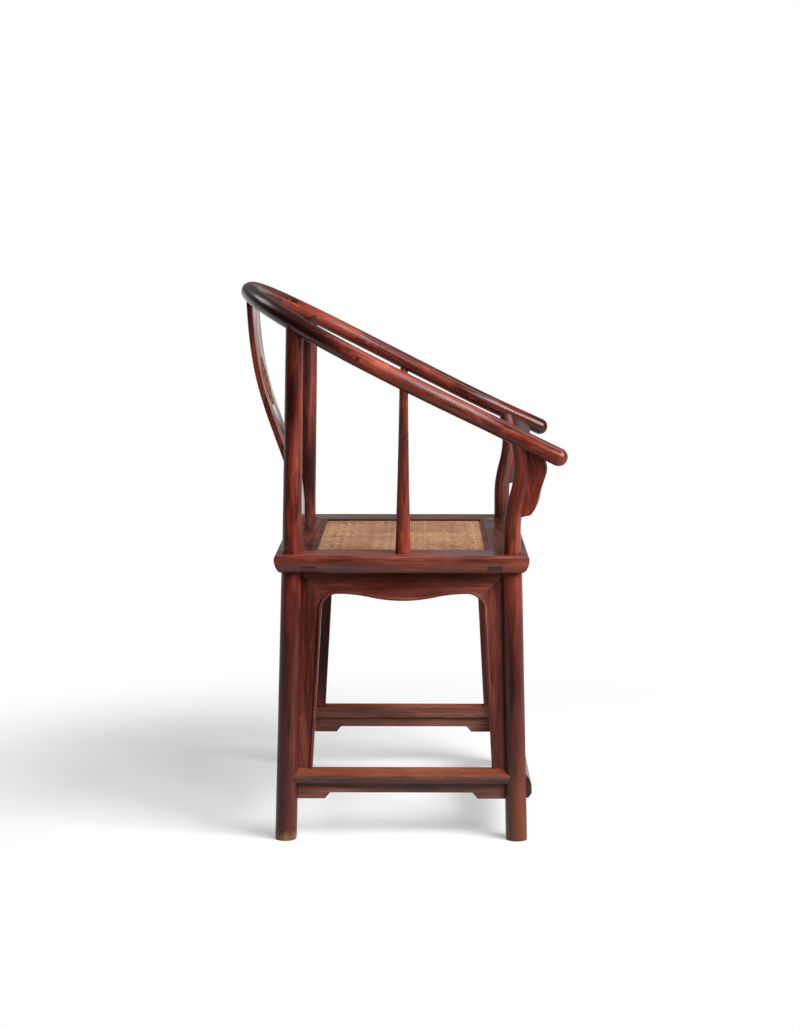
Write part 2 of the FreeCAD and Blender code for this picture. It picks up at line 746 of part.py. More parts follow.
end_rail_points = {
    "back": [(OPENING_X, OPENING_Y), (MITRE_X, MITRE_Y), (f"-{MITRE_X}", MITRE_Y),
             (f"-{OPENING_X}", OPENING_Y)],
    "front": [(f"-{OPENING_X}", f"-{OPENING_Y}"), (f"-{MITRE_X}", f"-{MITRE_Y}"), (MITRE_X, f"-{MITRE_Y}"),
              (OPENING_X, f"-{OPENING_Y}")],
}
for end, points in end_rail_points.items():
    sign = "" if end == "back" else "-"
    tenon_sides = (TENON_LOW, TENON_HIGH) if end == "back" else (f"-{TENON_HIGH}", f"-{TENON_LOW}")
    brace_sides = sorted((f"{sign}{OPENING_Y}", f"{sign}({OPENING_Y} + brace_tenon_length)"), key=mm)
    tenons = block(end + "_through_tenons", ("-seat_width / 2 - overrun", tenon_sides[0], tenon_floor),
                   ("seat_width / 2 + overrun", tenon_sides[1], tenon_ceiling))
    blank = joined(end + "_rail_solid", [frame_rail(end + "_rail", points),
                                         shared(end + "_tenons", slab, tenons)])
    socket = block(end + "_brace_socket", ("brace_half_spacing - brace_width / 2", brace_sides[0],
                                           f"{BRACE_LOW} + brace_shoulder"),
                   ("brace_half_spacing + brace_width / 2", brace_sides[1], f"{BRACE_HIGH} - brace_shoulder"),
                   "joint_fit")
    tools = [rebate, post_holes] + both(socket)
    if end == "back":
        tools.append(splat_slot)
    finish(carved(end + "_rail", blank, tools), "seat_rail_" + end)


# Braces: two bowed bars from the front rail to the back rail, clear of the woven seat

BRACE_BOW_RADIUS = f"({OPENING_Y}^2 + brace_bow^2) / (2 * brace_bow)"
brace_end = f"({OPENING_Y} + brace_tenon_length)"
brace_points = [
    (f"-{OPENING_Y}", BRACE_LOW, BRACE_BOW_RADIUS),
    (OPENING_Y, BRACE_LOW),
    (OPENING_Y, f"{BRACE_LOW} + brace_shoulder"),
    (brace_end, f"{BRACE_LOW} + brace_shoulder"),
    (brace_end, f"{BRACE_HIGH} - brace_shoulder"),
    (OPENING_Y, f"{BRACE_HIGH} - brace_shoulder"),
    (OPENING_Y, BRACE_HIGH, f"-{BRACE_BOW_RADIUS}"),
    (f"-{OPENING_Y}", BRACE_HIGH),
    (f"-{OPENING_Y}", f"{BRACE_HIGH} - brace_shoulder"),
    (f"-{brace_end}", f"{BRACE_HIGH} - brace_shoulder"),
    (f"-{brace_end}", f"{BRACE_LOW} + brace_shoulder"),
    (f"-{OPENING_Y}", f"{BRACE_LOW} + brace_shoulder"),
]
brace = prism("brace", "YZ_Plane", brace_points, "brace_width", "brace_half_spacing", symmetric=True)
twin(finish(brace, "seat_brace_left"), "seat_brace_right")


# Woven seat: palm webbing on the ledge, the cane mat on the webbing, and four mitred
# strips that press the mat's edge down

MAT_X = f"({OPENING_X} + rebate_width - seat_fit)"
MAT_Y = f"({OPENING_Y} + rebate_width - seat_fit)"
WEBBING_TOP = f"({LEDGE} + webbing_thickness)"
MAT_TOP = f"({LEDGE} + webbing_thickness + mat_thickness)"
mat_points = [(f"-{MAT_X}", f"-{MAT_Y}"), (MAT_X, f"-{MAT_Y}"), (MAT_X, MAT_Y), (f"-{MAT_X}", MAT_Y)]
finish(prism("webbing", "XY_Plane", mat_points, "webbing_thickness", LEDGE), "seat_webbing")
finish(prism("mat", "XY_Plane", mat_points, "mat_thickness", WEBBING_TOP), "seat_mat")


def press_strip(name, points):
    return prism(name, "XY_Plane", points, "press_strip_thickness", MAT_TOP)


STRIP_X = f"({MAT_X} - press_strip_width)"
STRIP_Y = f"({MAT_Y} - press_strip_width)"
side_strip = press_strip("side_strip", [(STRIP_X, f"-{STRIP_Y}"), (MAT_X, f"-{MAT_Y}"), (MAT_X, MAT_Y),
                                        (STRIP_X, STRIP_Y)])
twin(finish(side_strip, "mat_strip_left"), "mat_strip_right")
finish(press_strip("back_strip", [(STRIP_X, STRIP_Y), (MAT_X, MAT_Y), (f"-{MAT_X}", MAT_Y),
                                  (f"-{STRIP_X}", STRIP_Y)]), "mat_strip_back")
finish(press_strip("front_strip", [(f"-{STRIP_X}", f"-{STRIP_Y}"), (f"-{MAT_X}", f"-{MAT_Y}"),
                                   (MAT_X, f"-{MAT_Y}"), (STRIP_X, f"-{STRIP_Y}")]), "mat_strip_front")


# Legs: each leg and the post above it are one piece, round outside and square inside

def leg_section(body, name, height, depth, inward):
    """The leg's outline at a height: a round with its inner quarter filled out square."""
    x = leg_spread(height)
    y = depth
    round_radius = leg_radius(height)
    across = f"{x} - {round_radius}"
    inner = f"{y} + {inward} * {round_radius}"
    quarters = [(x, f"{y} - {round_radius}", round_radius), (f"{x} + {round_radius}", y, round_radius),
                (x, f"{y} + {round_radius}", round_radius), (across, y, round_radius)]
    if inward < 0:
        points = quarters[:3] + [(across, y), (across, inner)]
    else:
        points = [(across, y, round_radius)] + quarters[:2] + [(x, f"{y} + {round_radius}"), (across, inner)]
    return outline(body, name, "XY_Plane", points, height)


def leg(name, end, sign, inward):
    """A left leg from the floor to the seat frame."""
    body = doc.addObject("PartDesign::Body", name)
    foot = leg_section(body, name + "_foot", "0", sign + leg_depth(end, "0"), inward)
    shoulder = leg_section(body, name + "_shoulder", UNDERSIDE, sign + leg_depth(end, UNDERSIDE), inward)
    loft = body.newObject("PartDesign::AdditiveLoft", name + "_loft")
    loft.Profile = foot
    loft.Sections = [shoulder]
    loft.Ruled = True
    return body


rear_leg = leg("rear_leg", "rear", "", -1)
front_leg = leg("front_leg", "front", "-", 1)
left_legs = [rear_leg, front_leg]
rear_legs = both(rear_leg)
front_legs = both(front_leg)


def tenon_box(name, axis, middle, reach, top, slack="0"):
    """The tenons of a stretcher, as one bar from end to end along x or y."""
    sides = (f"{middle} - tenon_inset", f"{middle} - tenon_inset + tenon_thickness")
    ends = (f"-({reach[0]})", reach[1])
    low = (ends[0], sides[0]) if axis == "x" else (sides[0], ends[0])
    high = (ends[1], sides[1]) if axis == "x" else (sides[1], ends[1])
    return block(name, (*low, f"{top} - tenon_height"), (*high, top), slack)


def into_leg(middle):
    """How far a tenon reaches, past the flat face of a leg whose middle is there."""
    return f"{middle} - foot_diameter / 2 + tenon_length"


SIDE_X = leg_spread("side_stretcher_top")
SIDE_FRONT_Y = leg_depth("front", "side_stretcher_top")
SIDE_REAR_Y = leg_depth("rear", "side_stretcher_top")
BACK_X = leg_spread("back_stretcher_top")
BACK_Y = leg_depth("rear", "back_stretcher_top")
REST_X = leg_spread("footrest_top")
REST_Y = leg_depth("front", "footrest_top")
tenon_places = {
    "side": ("y", SIDE_X, (into_leg(SIDE_FRONT_Y), into_leg(SIDE_REAR_Y)),
             "(side_stretcher_top - stretcher_tenon_drop)"),
    "back": ("x", BACK_Y, (into_leg(BACK_X), into_leg(BACK_X)),
             "(back_stretcher_top - stretcher_tenon_drop)"),
    "footrest": ("x", f"-{REST_Y} + 2 * tenon_inset - tenon_thickness",
                 (into_leg(REST_X), into_leg(REST_X)), "(footrest_top - footrest_tenon_drop)"),
}
tenons = {name: tenon_box(name + "_tenons", *place) for name, place in tenon_places.items()}
mortises = {name: tenon_box(name + "_mortises", *place, "joint_fit") for name, place in tenon_places.items()}

rear_post_piece = formed("rear_post", seated(rear_post(), shoulder_tube, REAR_TOP, post_diameter))
rear_whole = joined("rear_leg_and_post", [rear_leg, rear_post_piece])
rear_cut = carved("rear_leg_cut", rear_whole, [mortises["side"], mortises["back"]])
twin(finish(rear_cut, "rear_leg_left"), "rear_leg_right")

front_post_piece = formed("front_post", seated(front_post(), arm_tube, FRONT_TOP, post_diameter))
front_whole = joined("front_leg_and_post", [front_leg, front_post_piece])
front_cut = carved("front_leg_cut", front_whole, [mortises["side"], mortises["footrest"]])
twin(finish(front_cut, "front_leg_left"), "front_leg_right")


# Side posts and arm spandrels under the arms

side_posts = {}
for side in SIDES:
    post = formed(side + "_side_post", seated(side_post(side), arm_tube, SIDE_TOPS[side], side_tenon))
    foot = peg(side + "_side_post_foot", "side_post_foot_diameter / 2", "seat_height - side_post_foot_length",
               "seat_height", SIDE_POST_X, f"-({side}_side_post_depth)")
    side_posts[side] = joined(side + "_side_post_whole", [post, foot])
finish(side_posts["left"], "side_post_left")
twin(placed(side_posts["right"]), "side_post_right")
spandrel = formed("spandrel", arm_spandrel(arm_tube, front_post()))
twin(finish(spandrel, "arm_spandrel_left"), "arm_spandrel_right")


# Stretchers: the footrest in front is the lowest, then the two sides, then the back

def rounded(run, rise):
    """The radius of an arc of a run and a rise that ends upright."""
    return f"(({run})^2 + ({rise})^2) / (2 * ({run}))"


def stretcher_points(middle, top):
    """The section of a side or back stretcher, whose lip stands out from the legs' line."""
    low = f"{top} - stretcher_height"
    nose = rounded("stretcher_ridge - stretcher_under", "stretcher_height - stretcher_ridge_drop")
    return [(f"{middle} - stretcher_inset", low), (f"{middle} + stretcher_under", low, nose),
            (f"{middle} + stretcher_ridge", f"{top} - stretcher_ridge_drop"), (middle, top),
            (f"{middle} - stretcher_back_top", top),
            (f"{middle} - stretcher_inset", f"{top} - stretcher_back_drop")]


side_stretcher = prism("side_stretcher", "XZ_Plane", stretcher_points(SIDE_X, "side_stretcher_top"),
                       f"{SIDE_FRONT_Y} + {SIDE_REAR_Y}", f"-{SIDE_REAR_Y}")
back_stretcher = prism("back_stretcher", "YZ_Plane", stretcher_points(BACK_Y, "back_stretcher_top"),
                       f"2 * {BACK_X}", symmetric=True)
rest_front = rounded("footrest_ridge - footrest_shelf", "footrest_ridge_drop")
footrest_points = [(f"-{REST_Y} - footrest_under", "footrest_top - footrest_height"),
                   (f"-{REST_Y} + stretcher_inset", "footrest_top - footrest_height"),
                   (f"-{REST_Y} + stretcher_inset", "footrest_top"),
                   (f"-{REST_Y} - footrest_shelf", "footrest_top", rest_front),
                   (f"-{REST_Y} - footrest_ridge", "footrest_top - footrest_ridge_drop"),
                   (f"-{REST_Y} - footrest_ridge", "footrest_top - footrest_height + footrest_ridge_rise")]
footrest = prism("footrest", "YZ_Plane", footrest_points, f"2 * {REST_X}", symmetric=True)

side_coped = carved("side_stretcher_coped", side_stretcher, left_legs)
back_coped = carved("back_stretcher_coped", back_stretcher, rear_legs)
footrest_coped = carved("footrest_coped", footrest, front_legs)
side_whole = joined("side_stretcher_whole", [side_coped, tenons["side"]])
twin(finish(side_whole, "stretcher_left"), "stretcher_right")
finish(joined("back_stretcher_whole", [back_coped, tenons["back"]]), "stretcher_back")
finish(joined("footrest_whole", [footrest_coped, tenons["footrest"]]), "stretcher_front")


# Panels between the legs are drawn upright, with u along the chair's side and v up from
# the seat's underside, and then lean with the legs

def leaning(u_axis, outward, run, rise, base):
    """The place of a panel whose face looks outward and leans by run over rise."""
    lean = math.atan2(run, rise)
    up = Vector(0, 0, math.cos(lean)).sub(outward.multiply(math.sin(lean)))
    return Placement(base, Rotation(u_axis, up, u_axis.cross(up), "XYZ"))


side_run = mm("leg_side_splay")
left_base = Vector(mm(SHOULDER_X), -mm("side_opening_shift"), mm(UNDERSIDE))
right_base = Vector(-mm(SHOULDER_X), -mm("side_opening_shift"), mm(UNDERSIDE))
left_place = leaning(Vector(0, 1, 0), Vector(1, 0, 0), side_run, mm(UNDERSIDE), left_base)
right_place = leaning(Vector(0, -1, 0), Vector(-1, 0, 0), side_run, mm(UNDERSIDE), right_base)
front_place = leaning(Vector(1, 0, 0), Vector(0, -1, 0), mm("front_leg_splay"), mm(UNDERSIDE),
                      Vector(0, -mm(SHOULDER_Y), mm(UNDERSIDE)))
back_place = leaning(Vector(-1, 0, 0), Vector(0, 1, 0), mm("rear_leg_splay"), mm(UNDERSIDE),
                     Vector(0, mm(SHOULDER_Y), mm(UNDERSIDE)))


def panel(name, points, thickness, place):
    """A flat board behind the face of a leaning plane."""
    body = prism(name, "XY_Plane", points, thickness, backwards=True)
    body.Placement = place
    return body


def wave_half(spread):
    """How far from the middle an apron's wave ends and its rounded corner starts."""
    return f"({spread} - shoulder_diameter / 2 - flank_top_width - apron_corner_radius)"


def wave_radius(spread, drop):
    return f"(({wave_half(spread)}^2 + {drop}^2) / (4 * {drop}))"


def apron_points(spread, drop):
    """An apron with a waved lower edge, rounded corners and mitred ends."""
    half = wave_half(spread)
    wave = wave_radius(spread, drop)
    crest = "-apron_height"
    between = f"-(apron_height + {drop} / 2)"
    corner_u = f"({half} + apron_corner_radius * {diagonal_share})"
    corner_v = f"-(apron_height + apron_corner_radius * {1 - diagonal_share})"
    tip = f"({half} + apron_height + apron_corner_radius + overrun)"
    return [(f"-{corner_u}", corner_v, "-apron_corner_radius"), (f"-{half}", crest, f"-{wave}"),
            (f"-{half} / 2", between, wave), (f"{half} / 2", between, f"-{wave}"),
            (half, crest, "-apron_corner_radius"), (corner_u, corner_v), (tip, "overrun"),
            (f"-{tip}", "overrun")]


def flank_lean(half, foot, drop):
    """The angle from upright at which a flank's edge leaves the rounded corner."""
    run = f"({foot} - {half})"
    fall = f"({drop} - apron_height - apron_corner_radius)"
    return f"(acos(apron_corner_radius / sqrt({run}^2 + {fall}^2)) - atan({fall} / {run}))"


def flank_points(spread, foot_spread, seat):
    """A flank down a leg's inner face, from the apron's mitre to the stretcher."""
    half = wave_half(spread)
    drop = f"({UNDERSIDE} - {seat})"
    foot = f"({foot_spread} - {leg_radius(seat)} - flank_foot_width)"
    lean = flank_lean(half, foot, drop)
    return [(foot, f"-{drop} - overrun"), (foot_spread, f"-{drop} - overrun"), (spread, "0"),
            (f"{half} + apron_height + apron_corner_radius", "0"),
            (f"{half} + apron_corner_radius * {diagonal_share}",
             f"-(apron_height + apron_corner_radius * {1 - diagonal_share})", "-apron_corner_radius"),
            (f"{half} + apron_corner_radius * cos({lean})",
             f"-(apron_height + apron_corner_radius - apron_corner_radius * sin({lean}))"),
            (foot, f"-{drop}")]


def arc(centre, radius, start, end):
    """An arc in the panel's plane, between two angles in degrees."""
    points = []
    for angle in (start, (start + end) / 2, end):
        turn = math.radians(angle)
        points.append(centre.add(Vector(radius * math.cos(turn), radius * math.sin(turn), 0)))
    return Part.Arc(*points).toShape()


def bead(name, edges, place):
    """The round bead along an opening's edge, sunk in the panel's face."""
    path = Part.Wire(edges)
    first = path.Edges[0]
    start = first.valueAt(first.FirstParameter)
    section = Part.Circle(start, first.tangentAt(first.FirstParameter), mm("bead_radius"))
    rod = path.makePipeShell([Part.Wire(section.toShape())], True, False)
    rod.translate(Vector(0, 0, mm("bead_rise - bead_radius")))
    feature = formed(name, rod)
    feature.Placement = place
    return feature


BEAD_OFFSET = mm("bead_radius + bead_margin")


def apron_bead(name, spread, drop, place):
    """The bead along an apron's wave and its corners, from mitre to mitre."""
    half = mm(wave_half(spread))
    wave = mm(wave_radius(spread, drop))
    swing = math.degrees(math.asin(half / 2 / wave))
    crest = -mm("apron_height")
    corner_radius = mm("apron_corner_radius") + BEAD_OFFSET
    sides = {}
    for side in (-1, 1):
        corner = Vector(side * half, crest - mm("apron_corner_radius"), 0)
        slope = Vector(side * half, crest - wave, 0)
        sides[side] = [arc(corner, corner_radius, 90 - side * 45, 90),
                       arc(slope, wave + BEAD_OFFSET, 90, 90 + side * swing)]
    middle = arc(Vector(0, crest - mm(drop) + wave, 0), wave - BEAD_OFFSET, -90 - swing, -90 + swing)
    return bead(name, sides[-1] + [middle] + sides[1][::-1], place)


def flank_bead(name, spread, foot_spread, seat, place):
    """The bead down a flank's edge, from the mitre to just below the stretcher's top."""
    half = mm(wave_half(spread))
    drop = f"({UNDERSIDE} - {seat})"
    foot = f"({foot_spread} - {leg_radius(seat)} - flank_foot_width)"
    lean = mm(flank_lean(wave_half(spread), foot, drop))
    corner = Vector(half, -mm("apron_height + apron_corner_radius"), 0)
    turn = arc(corner, mm("apron_corner_radius") + BEAD_OFFSET, 45, lean)
    down = Vector(math.sin(math.radians(lean)), -math.cos(math.radians(lean)), 0)
    start = turn.valueAt(turn.LastParameter)
    length = mm(f"{drop} - apron_height - apron_corner_radius + overrun / 2")
    return bead(name, [turn, Part.LineSegment(start, start.add(down.multiply(length))).toShape()], place)


# Side and front: a waved apron under the seat, mitred to two flanks that stand on the stretcher

def apron(name, spread, drop, place, legs):
    board = panel(name + "_board", apron_points(spread, drop), "apron_thickness", place)
    edge = apron_bead(name + "_bead", spread, drop, place)
    return carved(name, joined(name + "_solid", [board, edge]), [slab] + legs)


def flank(name, spread, foot_spread, seat, place, tools):
    board = panel(name + "_board", flank_points(spread, foot_spread, seat), "apron_thickness", place)
    edge = flank_bead(name + "_bead", spread, foot_spread, seat, place)
    return carved(name, joined(name + "_solid", [board, edge]), tools)


side_apron = apron("side_apron", SHOULDER_Y, "side_wave_drop", left_place, left_legs)
twin(finish(side_apron, "side_apron_left"), "side_apron_right")
front_apron = apron("front_apron_whole", SHOULDER_X, "front_wave_drop", front_place, front_legs)
finish(front_apron, "front_apron")

rear_flank = flank("side_rear_flank", SHOULDER_Y, SIDE_REAR_Y, "side_stretcher_top", left_place,
                   [rear_leg, side_stretcher])
twin(finish(rear_flank, "side_flank_rear_left"), "side_flank_rear_right")
front_side_flank = flank("side_front_flank", SHOULDER_Y, SIDE_FRONT_Y, "side_stretcher_top", right_place,
                         [front_legs[1], twin(side_stretcher)])
twin(finish(front_side_flank, "side_flank_front_right"), "side_flank_front_left")
front_flank = flank("front_flank", SHOULDER_X, REST_X, "footrest_top", front_place, [front_leg, footrest])
twin(finish(front_flank, "front_flank_left"), "front_flank_right")


# Back: a plain apron with two short spandrels

back_apron_points = [(f"-{SHOULDER_X}", "-back_apron_height"), (SHOULDER_X, "-back_apron_height"),
                     (SHOULDER_X, "overrun"), (f"-{SHOULDER_X}", "overrun")]
back_apron = panel("back_apron_board", back_apron_points, "apron_thickness", back_place)
finish(carved("back_apron_cut", back_apron, [slab] + rear_legs), "back_apron")

SPANDREL_TOP = f"({UNDERSIDE} - back_apron_height)"
SPANDREL_FOOT = f"({UNDERSIDE} - back_apron_height - back_spandrel_drop)"
spandrel_top_u = f"({leg_spread(SPANDREL_TOP)} - {leg_radius(SPANDREL_TOP)} - back_spandrel_width)"
spandrel_foot_u = f"({leg_spread(SPANDREL_FOOT)} - {leg_radius(SPANDREL_FOOT)} - back_spandrel_foot)"
spandrel_curve = rounded(f"{spandrel_foot_u} - {spandrel_top_u}", "back_spandrel_drop")
back_spandrel = panel("back_spandrel_board", [
    (spandrel_foot_u, "-back_apron_height - back_spandrel_drop"),
    (leg_spread(SPANDREL_FOOT), "-back_apron_height - back_spandrel_drop"),
    (leg_spread(SPANDREL_TOP), "-back_apron_height"),
    (spandrel_top_u, "-back_apron_height", f"-{spandrel_curve}")], "apron_thickness", back_place)
back_spandrel = carved("back_spandrel", back_spandrel, [rear_legs[1]])
twin(finish(back_spandrel, "back_spandrel_right"), "back_spandrel_left")


# Low strips: a cusped board under the footrest and under each side stretcher

def low_strip(name, reach, place):
    """A strip between two legs, deeper beside each leg, given the legs' places."""
    start, end = (f"({side} - foot_diameter / 2 - low_strip_end_length)" for side in reach)
    deep = "-low_strip_height - low_strip_end_drop"
    points = [(f"-{reach[0]}", deep), (f"-{start}", deep),
              (f"low_strip_slope - {start}", "-low_strip_height"),
              (f"{end} - low_strip_slope", "-low_strip_height"), (end, deep), (reach[1], deep),
              (reach[1], "0"), (f"-{reach[0]}", "0")]
    return panel(name, points, "low_strip_thickness", place)


side_low = mm("side_stretcher_top - stretcher_height")
side_low_base = Vector(mm(SIDE_X), 0, side_low)
side_low_place = leaning(Vector(0, 1, 0), Vector(1, 0, 0), 0, side_low, side_low_base)
side_strip_board = low_strip("side_low_strip", (SIDE_FRONT_Y, SIDE_REAR_Y), side_low_place)
side_low_strip = carved("side_low_strip_cut", side_strip_board, left_legs)
twin(finish(side_low_strip, "stretcher_apron_left"), "stretcher_apron_right")

front_low = mm("footrest_top - footrest_height")
front_low_base = Vector(0, -mm(REST_Y), front_low)
front_low_place = leaning(Vector(1, 0, 0), Vector(0, -1, 0), 0, front_low, front_low_base)
front_strip_board = low_strip("front_low_strip", (REST_X, REST_X), front_low_place)
finish(carved("front_low_strip_cut", front_strip_board, front_legs), "stretcher_apron_front")


doc.recompute()
for feature in doc.Objects:
    if "Invalid" in feature.State or "Error" in feature.State:
        raise RuntimeError(f"{feature.Name} failed: {feature.State}")
os.makedirs("parts", exist_ok=True)
for feature in subparts:
    shape = feature.Shape
    if shape.isNull() or not shape.isValid() or not shape.Solids:
        raise RuntimeError(f"{feature.Label} has no valid solid")
    shape.exportStep(f"parts/{feature.Label}.step")
    print(f"{feature.Label}: {len(shape.Solids)} solid(s), {shape.Volume:.0f} mm3")
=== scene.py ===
"""The finish of a horseshoe back armchair: polished hardwood, a carved splat and a woven cane seat.

Lengths are in metres. +X is the sitter's left, -Y is the front and Z is up. The photograph looks
at the sitter's right side.
"""

import math

import bmesh
import bpy
from mathutils import Matrix, Vector, kdtree, noise
from mathutils.bvhtree import BVHTree


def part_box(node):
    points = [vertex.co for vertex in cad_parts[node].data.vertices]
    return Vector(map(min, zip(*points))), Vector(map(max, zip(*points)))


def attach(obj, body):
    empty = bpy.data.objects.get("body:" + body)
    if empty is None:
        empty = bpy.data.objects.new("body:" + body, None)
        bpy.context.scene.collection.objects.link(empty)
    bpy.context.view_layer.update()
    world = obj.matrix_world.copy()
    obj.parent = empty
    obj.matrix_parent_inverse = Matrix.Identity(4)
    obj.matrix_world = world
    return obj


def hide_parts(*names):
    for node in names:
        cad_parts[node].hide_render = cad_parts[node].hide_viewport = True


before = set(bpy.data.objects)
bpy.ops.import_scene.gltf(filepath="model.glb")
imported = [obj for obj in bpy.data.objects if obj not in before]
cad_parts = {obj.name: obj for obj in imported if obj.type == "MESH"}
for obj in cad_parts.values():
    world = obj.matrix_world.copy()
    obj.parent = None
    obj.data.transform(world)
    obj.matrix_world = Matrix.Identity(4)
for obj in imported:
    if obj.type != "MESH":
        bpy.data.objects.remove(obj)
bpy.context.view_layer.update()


# Legs and posts
# Each leg runs up through the seat as a post, planed round and scraped from one stick of rosewood and
# rubbed with wax for many years. The grain runs up the stick, and each stick is cut from its own
# part of the log, so no two patterns are alike.

MM = 0.001


def srgb(code):
    """A hex colour as the linear values that a shader takes."""
    values = [int(code[start:start + 2], 16) / 255 for start in (1, 3, 5)]
    return (*[v / 12.92 if v <= 0.04045 else ((v + 0.055) / 1.055) ** 2.4 for v in values], 1)


def add(tree, kind, inputs=None, **settings):
    """Adds a node. Its inputs are numbers, colours, or the outputs that feed them."""
    made = tree.nodes.new(kind)
    for name, value in settings.items():
        setattr(made, name, value)
    for name, value in (inputs or {}).items():
        if isinstance(value, bpy.types.NodeSocket):
            tree.links.new(value, made.inputs[name])
        else:
            made.inputs[name].default_value = value
    return made


def new_material(name):
    """A material with an empty node tree."""
    material = bpy.data.materials.new(name)
    material.use_nodes = True
    material.node_tree.nodes.clear()
    return material


def set_stops(ramp, stops):
    """Gives a colour ramp its stops, as places and hex colours."""
    elements = ramp.color_ramp.elements
    while len(elements) < len(stops):
        elements.new(0.5)
    for element, (place, code) in zip(elements, stops):
        element.position = place
        element.color = srgb(code)


# Real pores are about 0.2 mm wide. They are drawn coarser, so that they show. The bands are the light
# and dark lines of the wood's growth, and the figure is its orange patches.
PORE_WIDTH = 1.2 * MM
BAND_WIDTH = 7 * MM
SHEEN_SIZE = 90 * MM
FIGURE_SIZE = 45 * MM

# Along the grain the patterns' coordinates are scaled by these, which draws their marks out into streaks.
PORES_ALONG = 0.03
BANDS_ALONG = 0.05
SHEEN_ALONG = 0.4

# How much the fibres and the sheen's patches add to the bands' light and dark.
FIBRE_WEIGHT = 0.7
SHEEN_WEIGHT = 0.9

FIBRE_HEIGHT = 0.05 * MM
# Painted shade in inner corners reaches this far.
CORNER_SHADE_REACH = 9 * MM
DARK_PORE = "#180807"
# The colour of the painted shade in inner corners.
CORNER_SHADE = "#120606"


